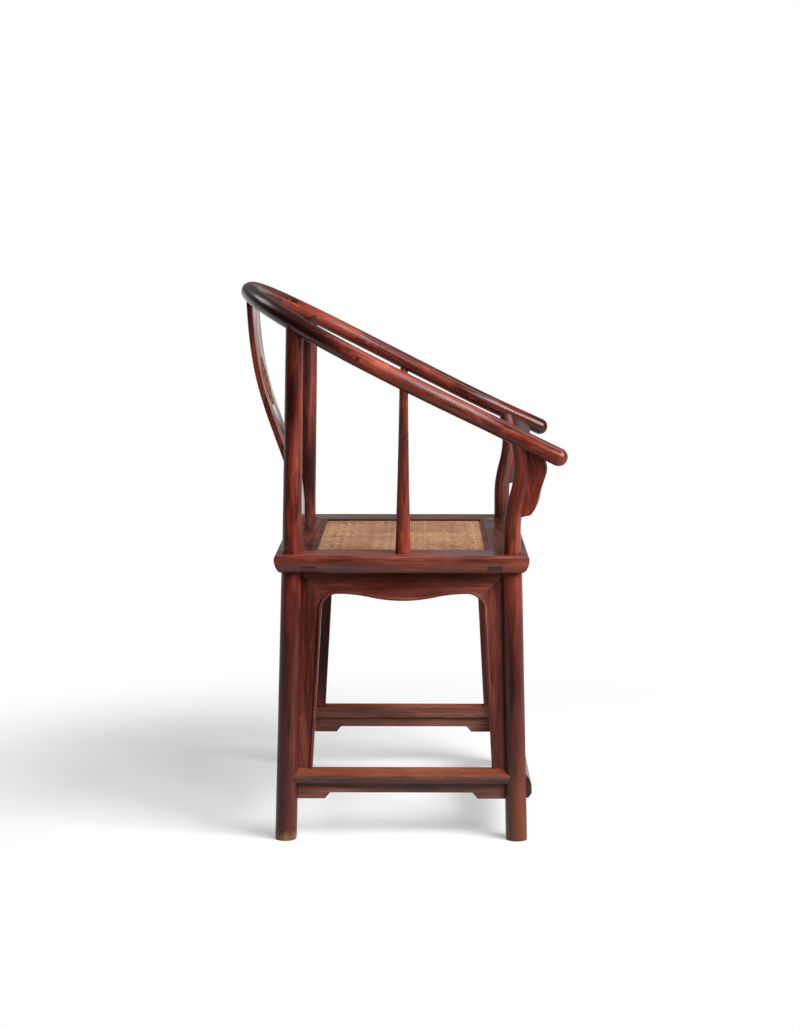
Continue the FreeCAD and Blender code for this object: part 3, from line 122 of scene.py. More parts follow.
def rosewood(name, stops, figure, gloss, coat, wear=()):
    """Hardwood with its grain along the third axis of each piece's own grain attribute.

    Gloss is the roughness of a fairly glossy patch, so less of it is shinier, and coat is how much wax
    lies over it. Each wear holds what it goes by, where it begins, where it is full, its colour and
    its amount. Some entries are painted shade and painted light, not wear: the legs' shade below the seat
    and the stretchers' lighter tops.
    """
    material = new_material(name)
    tree = material.node_tree
    grain = add(tree, "ShaderNodeAttribute", attribute_name="grain").outputs["Vector"]
    bands_at = add(tree, "ShaderNodeMapping", {"Vector": grain, "Scale": (1, 1, BANDS_ALONG)}).outputs[0]
    bands = add(tree, "ShaderNodeTexNoise", {"Vector": bands_at, "Scale": 1 / BAND_WIDTH, "Detail": 4.0,
                                             "Roughness": 0.6, "Distortion": 0.6}).outputs[0]
    fine_at = add(tree, "ShaderNodeMapping", {"Vector": grain, "Scale": (1, 1, PORES_ALONG)}).outputs[0]
    fibres = add(tree, "ShaderNodeTexNoise", {"Vector": fine_at, "Scale": 1 / PORE_WIDTH, "Detail": 2.0,
                                              "Roughness": 0.6}).outputs[0]
    slow_at = add(tree, "ShaderNodeMapping", {"Vector": grain, "Scale": (1, 1, SHEEN_ALONG)}).outputs[0]
    slow = add(tree, "ShaderNodeTexNoise", {"Vector": slow_at, "Scale": 1 / SHEEN_SIZE, "Detail": 2.0,
                                            "Distortion": 1.0}).outputs[0]
    patches = add(tree, "ShaderNodeTexNoise", {"Vector": slow_at, "Scale": 1 / FIGURE_SIZE, "Detail": 3.0,
                                               "Distortion": 2.2}).outputs[0]

    # The patterns' sum and the piece's tone, which also carries painted shade and light, pick a colour from
    # dark to light.
    mixed = add(tree, "ShaderNodeMath", {0: fibres, 1: FIBRE_WEIGHT, 2: bands}, operation="MULTIPLY_ADD")
    toned = add(tree, "ShaderNodeMath", {0: slow, 1: SHEEN_WEIGHT, 2: mixed.outputs[0]},
                operation="MULTIPLY_ADD")
    tone = add(tree, "ShaderNodeAttribute", attribute_name="tone").outputs["Fac"]
    own = add(tree, "ShaderNodeMath", {0: toned.outputs[0], 1: tone}, operation="ADD")
    level = add(tree, "ShaderNodeMapRange", {"Value": own.outputs[0], "From Min": 1.0, "From Max": 1.6})
    shade = add(tree, "ShaderNodeValToRGB", {"Fac": level.outputs[0]})
    set_stops(shade, stops)

    # The figure's glowing patches lie over that, and then the open pores, filled with old wax.
    patch = add(tree, "ShaderNodeMapRange", {"Value": patches, "From Min": 0.58, "From Max": 0.72})
    figured = add(tree, "ShaderNodeMath", {0: patch.outputs[0], 1: level.outputs[0]}, operation="MULTIPLY")
    coloured = add(tree, "ShaderNodeMix", {"Factor": figured.outputs[0], "A": shade.outputs[0],
                                           "B": srgb(figure)}, data_type="RGBA")
    pores = add(tree, "ShaderNodeMapRange", {"Value": fibres, "From Min": 0.36, "From Max": 0.26,
                                             "To Max": 0.6})
    porous = add(tree, "ShaderNodeMix", {"Factor": pores.outputs[0], "A": coloured.outputs[2],
                                         "B": srgb(DARK_PORE)}, data_type="RGBA")

    # Wear, and the painted shade and light that come in the same list, have a ragged edge. Painted shade
    # darkens inner corners.
    here = add(tree, "ShaderNodeTexCoord").outputs["Object"]
    normal = add(tree, "ShaderNodeNewGeometry").outputs["Normal"]
    measures = {"height": add(tree, "ShaderNodeSeparateXYZ", {0: here}).outputs["Z"],
                "facing_up": add(tree, "ShaderNodeSeparateXYZ", {0: normal}).outputs["Z"]}
    for measure, begin, full, colour, amount in wear:
        ragged = add(tree, "ShaderNodeMath", {0: patches, 1: begin - full, 2: measures[measure]},
                     operation="MULTIPLY_ADD")
        wear_shade_and_light = add(tree, "ShaderNodeMapRange", {"Value": ragged.outputs[0], "From Min": begin,
                                                      "From Max": full, "To Max": amount})
        porous = add(tree, "ShaderNodeMix", {"Factor": wear_shade_and_light.outputs[0], "A": porous.outputs[2],
                                             "B": srgb(colour)}, data_type="RGBA")
    # Painted shade: inner corners, which little light reaches, go dark.
    corner = add(tree, "ShaderNodeAmbientOcclusion", {"Distance": CORNER_SHADE_REACH}, samples=4)
    corner_shade = add(tree, "ShaderNodeMapRange", {"Value": corner.outputs["AO"], "From Min": 0.7, "From Max": 0.2,
                                            "To Max": 0.85})
    final = add(tree, "ShaderNodeMix", {"Factor": corner_shade.outputs[0], "A": porous.outputs[2], "B": srgb(CORNER_SHADE)},
                data_type="RGBA")

    # The surface is smooth but for its fibres, and glossier in some patches than in others.
    bump = add(tree, "ShaderNodeBump", {"Height": fibres, "Strength": 0.06, "Distance": FIBRE_HEIGHT})
    rough = add(tree, "ShaderNodeMapRange", {"Value": slow, "From Min": 0.35, "From Max": 0.62,
                                             "To Min": gloss - 0.1, "To Max": gloss + 0.22})
    shader = add(tree, "ShaderNodeBsdfPrincipled", {
        "Base Color": final.outputs[2], "Roughness": rough.outputs[0], "Specular IOR Level": 0.3,
        "Coat Weight": coat, "Coat Roughness": 0.1, "Normal": bump.outputs[0]})
    add(tree, "ShaderNodeOutputMaterial", {"Surface": shader.outputs[0]})
    return material


# Rosewood, scraped smooth and waxed: red-brown streaks and orange figure under a soft shine.
ROSEWOOD = [(0.0, "#2c0e0a"), (0.3, "#561e16"), (0.6, "#7c2e1f"), (0.85, "#913b25"), (1.0, "#a64c2c")]
ORANGE_FIGURE = "#b2602f"
BROWN_FIGURE = "#974c29"
polished = rosewood("polished_rosewood", ROSEWOOD, ORANGE_FIGURE, gloss=0.33, coat=0.05)

# Painted shade: the legs darken below the seat, which keeps the light off them.
SHADE_BELOW_SEAT = ("height", 480 * MM, 380 * MM, "#2e1611", 0.6)
FOOT_WEAR = ("height", 30 * MM, 6 * MM, "#b08050", 0.8)
SCUFFED = ("height", 230 * MM, 70 * MM, "#84492a", 0.5)


def leg_wood(name, *wear):
    """The same wood on a leg: browner, and darkened below the seat by painted shade, as the seat shades it.
    """
    return rosewood(name, ROSEWOOD, BROWN_FIGURE, gloss=0.34, coat=0.05, wear=[SHADE_BELOW_SEAT, *wear])


# One foot is worn down to bare golden wood, and shoes have scuffed one front leg to a lighter red.
plain_leg = leg_wood("leg_rosewood")
worn_leg = leg_wood("worn_foot_rosewood", FOOT_WEAR)
scuffed_leg = leg_wood("scuffed_leg_rosewood", SCUFFED)

# How much lighter a piece is, or darker where it is below nought. Each section adds its own.
# Part of this is the wood's own tone and part is painted shade: the far legs, on the left, are darker.
tones_and_shade = {"rear_leg_left": -0.2, "rear_leg_right": -0.05, "front_leg_left": -0.24, "front_leg_right": -0.04,
         "side_post_right": -0.07}

# From one piece to the next, the step across the log to where its grain is taken from.
LOG_STEP_ACROSS = 370 * MM
LOG_STEP_DEEP = 259 * MM

# Triangles are joined only where they lie in one plane this nearly. With a looser limit the joined faces
# fold over along the aprons' waves.
FLAT_ENOUGH = math.radians(0.02)
MERGE_DISTANCE = 0.004 * MM
ROUND_SMOOTHING = 35

# A stick's middle is found at heights this far apart, wherever its mesh has at least so many points.
LEVEL_STEP = 8 * MM
LEVEL_POINTS = 12

UP = Vector((0, 0, 1))
ACROSS = Vector((1, 0, 0))
DEEP = Vector((0, 1, 0))
pieces = []


def lay_grain(data, place, node=""):
    """Gives each point of a mesh its place in the log, with the grain along the third axis."""
    offset = Vector((len(pieces) * LOG_STEP_ACROSS, len(pieces) * LOG_STEP_DEEP, 0))
    places = data.attributes.new("grain", "FLOAT_VECTOR", "POINT")
    for point, value in zip(data.vertices, places.data):
        value.vector = place(point.co) + offset
    own_tone = data.attributes.new("tone", "FLOAT", "POINT")
    for value in own_tone.data:
        value.value = tones_and_shade.get(node, 0)


def finished(name, data, material, slot, *nodes):
    """Puts a mesh on the chair as a piece, with its finish and the nodes that it stands for."""
    piece = bpy.data.objects.new(name, data)
    bpy.context.scene.collection.objects.link(piece)
    data.materials.clear()
    data.materials.append(material)
    pieces.append(piece)
    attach(piece, "root")
    if nodes:
        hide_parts(*nodes)
    return piece


def merged(node, smoothing, flat=False):
    """A copy of a node's mesh with its triangles joined, and smooth up to an angle in degrees."""
    mesh = bmesh.new()
    mesh.from_mesh(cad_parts[node].data)
    bmesh.ops.remove_doubles(mesh, verts=mesh.verts, dist=MERGE_DISTANCE)
    if flat:
        bmesh.ops.dissolve_limit(mesh, angle_limit=FLAT_ENOUGH, verts=mesh.verts, edges=mesh.edges)
    data = bpy.data.meshes.new(node + "_wood")
    mesh.to_mesh(data)
    mesh.free()

    # The copy brings the solid's own shading with it, which would hide the angle.
    stale = data.attributes.get("custom_normal")
    if stale:
        data.attributes.remove(stale)
    data.shade_smooth()
    data.set_sharp_from_angle(angle=math.radians(smoothing))
    return data


def middle_line(data):
    """The middle of an upright stick at a row of heights, from the foot up."""
    levels = {}
    for point in data.vertices:
        levels.setdefault(round(point.co.z / LEVEL_STEP), []).append(point.co)
    line = []
    for level in sorted(levels):
        points = levels[level]
        if len(points) >= LEVEL_POINTS:
            line.append([(min(point[axis] for point in points) + max(point[axis] for point in points)) / 2
                         for axis in (0, 1)] + [level * LEVEL_STEP])
    return line


def beside(line, point):
    """A point's place beside a stick's middle line, and its height."""
    above = next((number for number, place in enumerate(line) if place[2] > point.z), len(line) - 1)
    low, high = line[max(above - 1, 0)], line[above]
    share = (point.z - low[2]) / (high[2] - low[2]) if high[2] > low[2] else 0
    across, deep = (point[axis] - low[axis] - (high[axis] - low[axis]) * share for axis in (0, 1))
    return Vector((across, deep, point.z))


def weigh(piece, keep_sharp=True):
    """Lets a piece's large faces decide how the small ones beside them are shaded."""
    flats = piece.modifiers.new("flats", "WEIGHTED_NORMAL")
    flats.keep_sharp = keep_sharp


def stick(node, material):
    """An upright round piece, with its grain laid along its own curve."""
    data = merged(node, ROUND_SMOOTHING)
    line = middle_line(data)
    lay_grain(data, lambda point: beside(line, point), node)
    weigh(finished(node + "_wood", data, material, "hardwood", node))


for side, rear_wood, front_wood in (("left", plain_leg, plain_leg), ("right", worn_leg, scuffed_leg)):
    stick("rear_leg_" + side, rear_wood)
    stick("front_leg_" + side, front_wood)
    stick("side_post_" + side, polished)


# Seat frame, stretchers, aprons and flanks
# Boards and rails of the same rosewood, planed and scraped, with their edges eased by hand. They are
# waxed less often than what hands touch, so most are duller and a little greyer than the posts.

# Rosewood planed and rubbed dry, on the aprons and flanks: a dull sheen, and greyer than the posts.
RUBBED = [(0.0, "#451b16"), (0.3, "#622a22"), (0.6, "#79372c"), (0.85, "#8b4435"), (1.0, "#9e533b")]
rubbed = rosewood("rubbed_rosewood", RUBBED, "#8c4a2e", gloss=0.38, coat=0.0)

# The seat frame's rosewood, burnished by clothes: an even shine that mirrors the white wall.
FRAME_WOOD = [(0.0, "#361511"), (0.3, "#54231b"), (0.6, "#6d3024"), (0.85, "#803d2c"), (1.0, "#944c32")]
frame_wood = rosewood("seat_frame_rosewood", FRAME_WOOD, "#86452b", gloss=0.26, coat=0.05)

# The stretchers' rosewood, with dust rubbed in: dull and pale, but orange on top, partly worn by feet and
# partly painted light.
DUSTY = [(0.0, "#482821"), (0.3, "#613930"), (0.6, "#784a3e"), (0.85, "#8a5647"), (1.0, "#9c6650")]
STRETCHER_WEAR_AND_LIGHT = ("facing_up", 0.4, 0.7, "#8a4018", 0.45)
dusty = rosewood("dusty_rosewood", DUSTY, "#8f5c3e", gloss=0.42, coat=0.0, wear=[STRETCHER_WEAR_AND_LIGHT])

# The arm spandrels' rosewood, scraped but seldom waxed: the posts' red without their highlights.
dull = rosewood("dull_rosewood", ROSEWOOD, BROWN_FIGURE, gloss=0.55, coat=0.0)

# Sawn end grain, which drinks wax and dirt: a dull dark brown.
ENDS = [(0.0, "#1c100d"), (0.4, "#2f1c17"), (0.7, "#40281f"), (1.0, "#553527")]
end_grain = rosewood("end_grain", ENDS, "#4d3324", gloss=0.5, coat=0.0)

BOARD_SMOOTHING = 25
EASED = 0.8 * MM

# A face is end grain where its normal lies this nearly along the grain.
END_ON = 0.9

# Painted shade darkens the far, left side's boards, and the far arm spandrel most, in the arm's shadow.
# Painted light lifts the near spandrel.
tones_and_shade.update({"side_flank_rear_left": -0.2, "side_flank_rear_right": -0.12, "side_flank_front_left": -0.2,
              "side_flank_front_right": -0.1, "seat_rail_front": -0.22, "seat_rail_back": -0.14,
              "seat_rail_left": -0.1, "seat_rail_right": 0.06, "arm_spandrel_left": -0.5,
              "arm_spandrel_right": 0.12})


def show_ends(data, direction):
    """Gives the faces that cut across the grain their own darker finish."""
    data.materials.append(end_grain)
    for face in data.polygons:
        if abs(face.normal.dot(direction)) > END_ON:
            face.material_index = 1


def board(node, direction, material=rubbed, slot="hardwood", eased=EASED):
    """A flat piece with eased edges, and its grain laid along a direction."""
    data = merged(node, BOARD_SMOOTHING, flat=True)
    turn = direction.rotation_difference(UP).to_matrix()
    lay_grain(data, lambda point: turn @ point, node)
    piece = finished(node + "_wood", data, material, slot, node)
    show_ends(data, direction)
    soft = piece.modifiers.new("edges", "BEVEL")
    soft.width = eased
    soft.segments = 2
    soft.angle_limit = math.radians(BOARD_SMOOTHING)
    weigh(piece, keep_sharp=False)


for side in ("left", "right"):
    for name in ("side_flank_rear_", "side_flank_front_", "front_flank_", "back_spandrel_"):
        board(name + side, UP)
    board("arm_spandrel_" + side, UP, dull)
    board("seat_rail_" + side, DEEP, frame_wood)
    board("stretcher_" + side, DEEP, dusty)
    for name in ("seat_brace_", "side_apron_"):
        board(name + side, DEEP)
    board("stretcher_apron_" + side, DEEP, dusty)
for end in ("back", "front"):
    board("seat_rail_" + end, ACROSS, frame_wood)
    board("stretcher_" + end, ACROSS, dusty)
    board(end + "_apron", ACROSS)
board("stretcher_apron_front", ACROSS, dusty)


# Crest rail
# One round rail in five sections, scarfed end to end, with its grain following each bend. A square
# wedge locks each joint, and shows as a small square. Hands and backs keep the rail glossy.

# The sizes of the rail's own curve, which the grain and the shading follow round each bend.
SEAT_HALF_WIDTH = 300 * MM
SEAT_HALF_DEPTH = 223 * MM
SEAT_HEIGHT = 510 * MM
RAIL_HALF_WIDTH = SEAT_HALF_WIDTH + 8 * MM
RAIL_BACK = SEAT_HALF_DEPTH + 58.6 * MM
RAIL_TOP = SEAT_HEIGHT + 454 * MM
ARM_ROOT = 40 * MM
ARM_TIP = SEAT_HALF_DEPTH + 48 * MM
ARM_TIP_HEIGHT = SEAT_HEIGHT + 175 * MM
ARM_WAIST = 20 * MM
ARM_FLARE = 8 * MM
FRAME_SHIFT = -5.15 * MM
SQUARENESS = 2.3
FALL_BOW = 0.0727
WAIST_POWER = 1.36
FLARE_POWER = 6
RAIL_STEPS = 500

# A face is shaded as part of the round where it faces outwards this nearly.
ROUND_ENOUGH = math.cos(math.radians(25))

# Painted shade: on the right the rail is darker the further back it is, between these depths, where it turns
# away from the main lamp.
DARK_FROM = 60 * MM
DARK_FULL = 210 * MM
BACK_SHADE = -0.6
# Painted shade darkens the rest of the back and the far arm.
tones_and_shade.update({"crest_back": -0.3, "crest_arm_left": -0.1})


def rail_point(share):
    """The rail's middle, from the back at 0, past an arm's root at 1, to its tip at 2."""
    run = abs(share)
    if run <= 1:
        angle = run * math.pi / 2
        reach = ((abs(math.sin(angle)) / RAIL_HALF_WIDTH) ** SQUARENESS
                 + (abs(math.cos(angle)) / (RAIL_BACK - ARM_ROOT)) ** SQUARENESS) ** (-1 / SQUARENESS)
        across, depth = reach * math.sin(angle), ARM_ROOT + reach * math.cos(angle)
    else:
        arm = run - 1
        waist = ARM_WAIST * math.sin(math.pi * arm ** WAIST_POWER) ** 2
        across = RAIL_HALF_WIDTH - waist + ARM_FLARE * arm ** FLARE_POWER
        depth = ARM_ROOT - arm * (ARM_ROOT + ARM_TIP)
    fallen = (RAIL_BACK - depth) / (RAIL_BACK + ARM_TIP)
    fallen += FALL_BOW * fallen * (1 - fallen)
    height = RAIL_TOP - fallen * (RAIL_TOP - ARM_TIP_HEIGHT)
    return Vector((math.copysign(across, share), depth + FRAME_SHIFT, height))


rail_line = [rail_point(2 * step / RAIL_STEPS) for step in range(-RAIL_STEPS, RAIL_STEPS + 1)]
rail_run = [0.0]
for before, after in zip(rail_line, rail_line[1:]):
    rail_run.append(rail_run[-1] + (after - before).length)
nearest = kdtree.KDTree(len(rail_line))
for number, point in enumerate(rail_line):
    nearest.insert(point, number)
nearest.balance()


def on_rail(point):
    """Where a point lies on the rail: outwards and up from its middle, and how far along."""
    number = nearest.find(point)[1]
    low, high = max(number - 1, 0), min(number + 1, len(rail_line) - 1)
    along = (rail_line[high] - rail_line[low]).normalized()
    outwards = UP.cross(along).normalized()
    offset = point - rail_line[number]
    beyond = offset.dot(along)
    radial = offset if number in (0, len(rail_line) - 1) else offset - along * beyond
    place = Vector((offset.dot(outwards), offset.dot(along.cross(outwards)), rail_run[number] + beyond))
    return place, radial.normalized()


def rail_section(node, material):
    """A section of the rail, shaded by the rail's own roundness wherever it is round."""
    data = merged(node, ROUND_SMOOTHING)
    lay_grain(data, lambda point: on_rail(point)[0], node)
    # Painted shade darkens the right side of the rail towards its back.
    for point, value in zip(data.vertices, data.attributes["tone"].data):
        if point.co.x < 0:
            darker = (point.co.y - DARK_FROM) / (DARK_FULL - DARK_FROM)
            value.value = BACK_SHADE * min(max(darker, 0), 1)
    outward = [on_rail(point.co)[1] for point in data.vertices]
    normals = [None] * len(data.loops)
    for face in data.polygons:
        for corner in face.loop_indices:
            round_normal = outward[data.loops[corner].vertex_index]
            if face.normal.dot(round_normal) > ROUND_ENOUGH:
                normals[corner] = round_normal
            else:
                normals[corner] = face.normal.copy()
    data.normals_split_custom_set(normals)
    finished(node + "_wood", data, material, "hardwood", node)


for node in ("crest_shoulder_left", "crest_arm_left", "crest_arm_right"):
    rail_section(node, polished)

# The same wood where backs and hands have polished it most: sharper, longer highlights.
glossy = rosewood("glossy_rosewood", ROSEWOOD, ORANGE_FIGURE, gloss=0.22, coat=0.1)
for node in ("crest_back", "crest_shoulder_right"):
    rail_section(node, glossy)

# The wedges stand out by a hair, so that their ends show.
WEDGE_PROUD = 0.12 * MM
wedges = merged("crest_wedge_pins", BOARD_SMOOTHING)
for point in wedges.vertices:
    point.co += on_rail(point.co)[1] * WEDGE_PROUD
lay_grain(wedges, lambda point: point)
finished("crest_wedge_pins_wood", wedges, rubbed, "hardwood", "crest_wedge_pins")


# Splat
# A wide board, sawn and bowed to a back's curve, with a carved medallion at the shoulders' height: a
# lobed ring round two pairs of scrolls and a small flower, all left standing by about a millimetre.

# A wide figured board, waxed to a shine: cloudy orange patches, and pale where it mirrors the wall.
SPLAT_WOOD = [(0.0, "#30130e"), (0.3, "#562218"), (0.6, "#783221"), (0.85, "#8f4129"), (1.0, "#a55330")]
figured = rosewood("figured_rosewood", SPLAT_WOOD, "#a85c2d", gloss=0.2, coat=0.1)
tones_and_shade["splat"] = -0.16
board("splat", UP, figured, "splat_wood")

MEDALLION_HEIGHT = 797 * MM
MEDALLION_RADIUS = 40 * MM
INNER_RING_SHARE = 0.86
LOBES = 4
LOBE_SHARE = 0.13
FLOWER_RADIUS = 6 * MM
PETALS = 6
PETAL_SHARE = 0.3
RING_POINTS = 96

SCROLL_ACROSS = 14 * MM
SCROLL_UP = 15 * MM
SCROLL_RADIUS = 9 * MM
SCROLL_TURNS = 1.6
SCROLL_CLOSING = 0.82
SCROLL_POINTS = 48

# Points across and up, which each quarter of the medallion repeats.
TAIL = ((14 * MM, 6 * MM), (22 * MM, 3 * MM), (29 * MM, 0))
LEAF = ((3 * MM, 24 * MM), (6 * MM, 30 * MM), (0, 34 * MM))

RELIEF = 1.2 * MM
LOW_RELIEF = RELIEF * 0.6
LEAF_RELIEF = RELIEF * 0.7
SCROLL_RELIEF = RELIEF * 0.8
IN_FRONT = -1.0

splat_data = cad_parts["splat"].data
splat_surface = BVHTree.FromPolygons([point.co for point in splat_data.vertices],
                                     [face.vertices for face in splat_data.polygons])


def on_splat(across, up):
    """The point of the splat's front face that stands across and up from the medallion's middle."""
    start = Vector((across, IN_FRONT, MEDALLION_HEIGHT + up))
    return splat_surface.ray_cast(start, DEEP)[0]


def lobed_ring(radius, lobes, depth):
    """Points on a closed ring whose radius swells and sinks by a share of itself."""
    points = []
    for step in range(RING_POINTS):
        angle = step / RING_POINTS * 2 * math.pi
        reach = radius * (1 + depth * math.cos(lobes * angle))
        points.append((reach * math.sin(angle), reach * math.cos(angle)))
    return points


def scroll(side, end):
    """Points on a scroll that winds inwards, in one quarter of the medallion."""
    points = []
    for step in range(SCROLL_POINTS):
        share = step / (SCROLL_POINTS - 1)
        angle = (math.pi if end > 0 else 0) + side * end * share * SCROLL_TURNS * 2 * math.pi
        reach = SCROLL_RADIUS * (1 - SCROLL_CLOSING * share)
        points.append((side * SCROLL_ACROSS + reach * math.sin(angle),
                       end * SCROLL_UP + reach * math.cos(angle)))
    return points


# Each line's points, whether it closes, and how far it stands out.
lines = [(lobed_ring(MEDALLION_RADIUS, LOBES, LOBE_SHARE), True, RELIEF),
         (lobed_ring(MEDALLION_RADIUS * INNER_RING_SHARE, LOBES, LOBE_SHARE), True, LOW_RELIEF),
         (lobed_ring(FLOWER_RADIUS, PETALS, PETAL_SHARE), True, SCROLL_RELIEF)]
for side in (-1, 1):
    for end in (-1, 1):
        lines.append((scroll(side, end), False, SCROLL_RELIEF))
        for strand in (TAIL, LEAF):
            lines.append(([(side * across, end * up) for across, up in strand], False, LEAF_RELIEF))

# The curve is as thick at each point as that point's own radius.
carving = bpy.data.curves.new("carving_lines", "CURVE")
carving.dimensions = "3D"
carving.bevel_depth = 1.0
carving.bevel_resolution = 2
for points, closed, thickness in lines:
    line = carving.splines.new("NURBS")
    line.points.add(len(points) - 1)
    line.order_u = 3
    line.use_cyclic_u = closed
    line.use_endpoint_u = not closed
    for place, (across, up) in zip(line.points, points):
        place.co = (*on_splat(across, up), 1)
        place.radius = thickness
carving_model = bpy.data.objects.new("carving_lines", carving)
carved = bpy.data.meshes.new_from_object(carving_model)
carved.name = "splat_carving"
bpy.data.objects.remove(carving_model)
for face in carved.polygons:
    face.use_smooth = True
lay_grain(carved, lambda point: point)
finished("splat_carving", carved, figured, "splat_wood")


# Woven seat
# Cane splits about 4 mm wide, woven two over and two under, lie on a web of palm cords. Four thin
# strips pressed into the frame's rebate hold the mat's edge down. Age has browned the cane.

SPLIT_WIDTH = 4.2 * MM
SPLIT_POINTS = 3

# Each split is arched across, by CROWN, and dips where it passes under the next ones.
CROWN = 0.6 * MM
ARCH_POWER = 0.6
DIP_POWER = 0.5
DIP_SHARE = 0.55

# What makes a spot lighter: its split, its crossing, and a painted highlight by how high on the arch it
# lies.
PLAIN_TONE = 0.35
SPLIT_TONE = 0.25
CROSSING_TONE = 0.25
CROWN_HIGHLIGHT = 0.35

# Steps between the places where noise is read for a split and for a crossing, so that neighbours differ.
SPLIT_STEPS = (7.31, 3.7)
CROSSING_STEPS = (1.7, 1.9)
CROSSING_LAYER = 5
ROWS_FROM = 400

low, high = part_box("seat_mat")
columns = round((high.x - low.x) / SPLIT_WIDTH)
rows = round((high.y - low.y) / SPLIT_WIDTH)
weave = bmesh.new()
bmesh.ops.create_grid(weave, x_segments=columns * SPLIT_POINTS, y_segments=rows * SPLIT_POINTS, size=0.5,
                      matrix=Matrix.Translation(((low.x + high.x) / 2, (low.y + high.y) / 2, high.z))
                      @ Matrix.Diagonal((high.x - low.x, high.y - low.y, 1, 1)))
split_tone_and_highlight = weave.verts.layers.float.new("split")
for point in weave.verts:
    across = (point.co.x - low.x) / (high.x - low.x) * columns
    along = (point.co.y - low.y) / (high.y - low.y) * rows
    column, row = math.floor(across), math.floor(along)
    over = (column + row) % 4 < 2
    width_place = (across - column) if over else (along - row)
    run = (along + column) if over else (across + row)
    arch = math.sin(math.pi * width_place) ** ARCH_POWER if 0 < width_place < 1 else 0
    dip = abs(math.sin(math.pi * (run % 2) / 2)) ** DIP_POWER
    point.co.z = high.z - CROWN + CROWN * arch * (1 - DIP_SHARE + DIP_SHARE * dip)
    number = column if over else row + ROWS_FROM
    split_noise = noise.noise(Vector((number * SPLIT_STEPS[0], number * SPLIT_STEPS[1], 0)))
    crossing_noise = noise.noise(Vector((column * CROSSING_STEPS[0], row * CROSSING_STEPS[1],
                                         CROSSING_LAYER)))
    point[split_tone_and_highlight] = (PLAIN_TONE + SPLIT_TONE * split_noise + CROSSING_TONE * crossing_noise
                         + CROWN_HIGHLIGHT * arch)
rim = [edge for edge in weave.edges if edge.is_boundary]
for item in bmesh.ops.extrude_edge_only(weave, edges=rim)["geom"]:
    if isinstance(item, bmesh.types.BMVert):
        item.co.z = low.z
bmesh.ops.contextual_create(weave, geom=[edge for edge in weave.edges if edge.is_boundary])
bmesh.ops.recalc_face_normals(weave, faces=weave.faces)
data = bpy.data.meshes.new("cane_mat")
weave.to_mesh(data)
weave.free()
data.shade_smooth()

# Split cane, peeled, woven and browned by age: a satin tan, with a painted highlight along each split's
# crown.
# Its real fibres are about 0.3 mm wide, and are drawn coarser, so that they show.
CANE = [(0.0, "#5c3a28"), (0.35, "#8a5f45"), (0.7, "#ad7f5f"), (1.0, "#cda27f")]
CANE_FIBRE = 2 * MM
CANE_FIBRE_WEIGHT = 0.5
WEAR_SIZE = 111 * MM
WEAR_WEIGHT = 0.5
cane = new_material("woven_cane")
tree = cane.node_tree
here = add(tree, "ShaderNodeTexCoord").outputs["Object"]
tone = add(tree, "ShaderNodeAttribute", attribute_name="split").outputs["Fac"]
wear = add(tree, "ShaderNodeTexNoise", {"Vector": here, "Scale": 1 / WEAR_SIZE, "Detail": 3.0}).outputs[0]
fibre = add(tree, "ShaderNodeTexNoise", {"Vector": here, "Scale": 1 / CANE_FIBRE, "Detail": 2.0}).outputs[0]
worn = add(tree, "ShaderNodeMath", {0: wear, 1: WEAR_WEIGHT, 2: tone}, operation="MULTIPLY_ADD")
mixed = add(tree, "ShaderNodeMath", {0: fibre, 1: CANE_FIBRE_WEIGHT, 2: worn.outputs[0]},
            operation="MULTIPLY_ADD")
level = add(tree, "ShaderNodeMapRange", {"Value": mixed.outputs[0], "From Min": 0.7, "From Max": 1.35})
shade = add(tree, "ShaderNodeValToRGB", {"Fac": level.outputs[0]})
set_stops(shade, CANE)
shader = add(tree, "ShaderNodeBsdfPrincipled", {"Base Color": shade.outputs[0], "Roughness": 0.55,
                                                "IOR": 1.45, "Specular IOR Level": 0.35})
add(tree, "ShaderNodeOutputMaterial", {"Surface": shader.outputs[0]})
finished("cane_mat", data, cane, "cane", "seat_mat")

# The strips' rosewood, planed and waxed like the frame but cut from darker wood: a deep brown line.
STRIP_WOOD = [(0.0, "#1e0b09"), (0.5, "#451a14"), (1.0, "#642a1e")]
STRIP_EASED = 0.4 * MM
strip_wood = rosewood("dark_rosewood_strip", STRIP_WOOD, "#6e3322", gloss=0.4, coat=0.2)
for side, direction in (("left", DEEP), ("right", DEEP), ("back", ACROSS), ("front", ACROSS)):
    board("mat_strip_" + side, direction, strip_wood, "strip_wood", STRIP_EASED)

CORD_SPACING = 11 * MM
CORD_HALF = 0.62 * MM
low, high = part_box("seat_webbing")
web = bpy.data.curves.new("palm_cords", "CURVE")
web.dimensions = "3D"
web.bevel_depth = CORD_HALF
web.bevel_resolution = 1
counts = [round((high[axis] - low[axis]) / CORD_SPACING) for axis in (0, 1)]
for axis in (0, 1):
    other = 1 - axis
    for number in range(counts[axis]):
        cord = web.splines.new("POLY")
        cord.points.add(counts[other] - 1)
        for crossing, place in enumerate(cord.points):
            spot = Vector((0, 0, (low.z + high.z) / 2))
            spot[axis] = low[axis] + (high[axis] - low[axis]) * (number + 0.5) / counts[axis]
            spot[other] = low[other] + (high[other] - low[other]) * (crossing + 0.5) / counts[other]
            spot.z += CORD_HALF * (1 if (crossing + number + axis) % 2 else -1)
            place.co = (*spot, 1)
web_model = bpy.data.objects.new("palm_cords", web)
cords = bpy.data.meshes.new_from_object(web_model)
bpy.data.objects.remove(web_model)
for face in cords.polygons:
    face.use_smooth = True

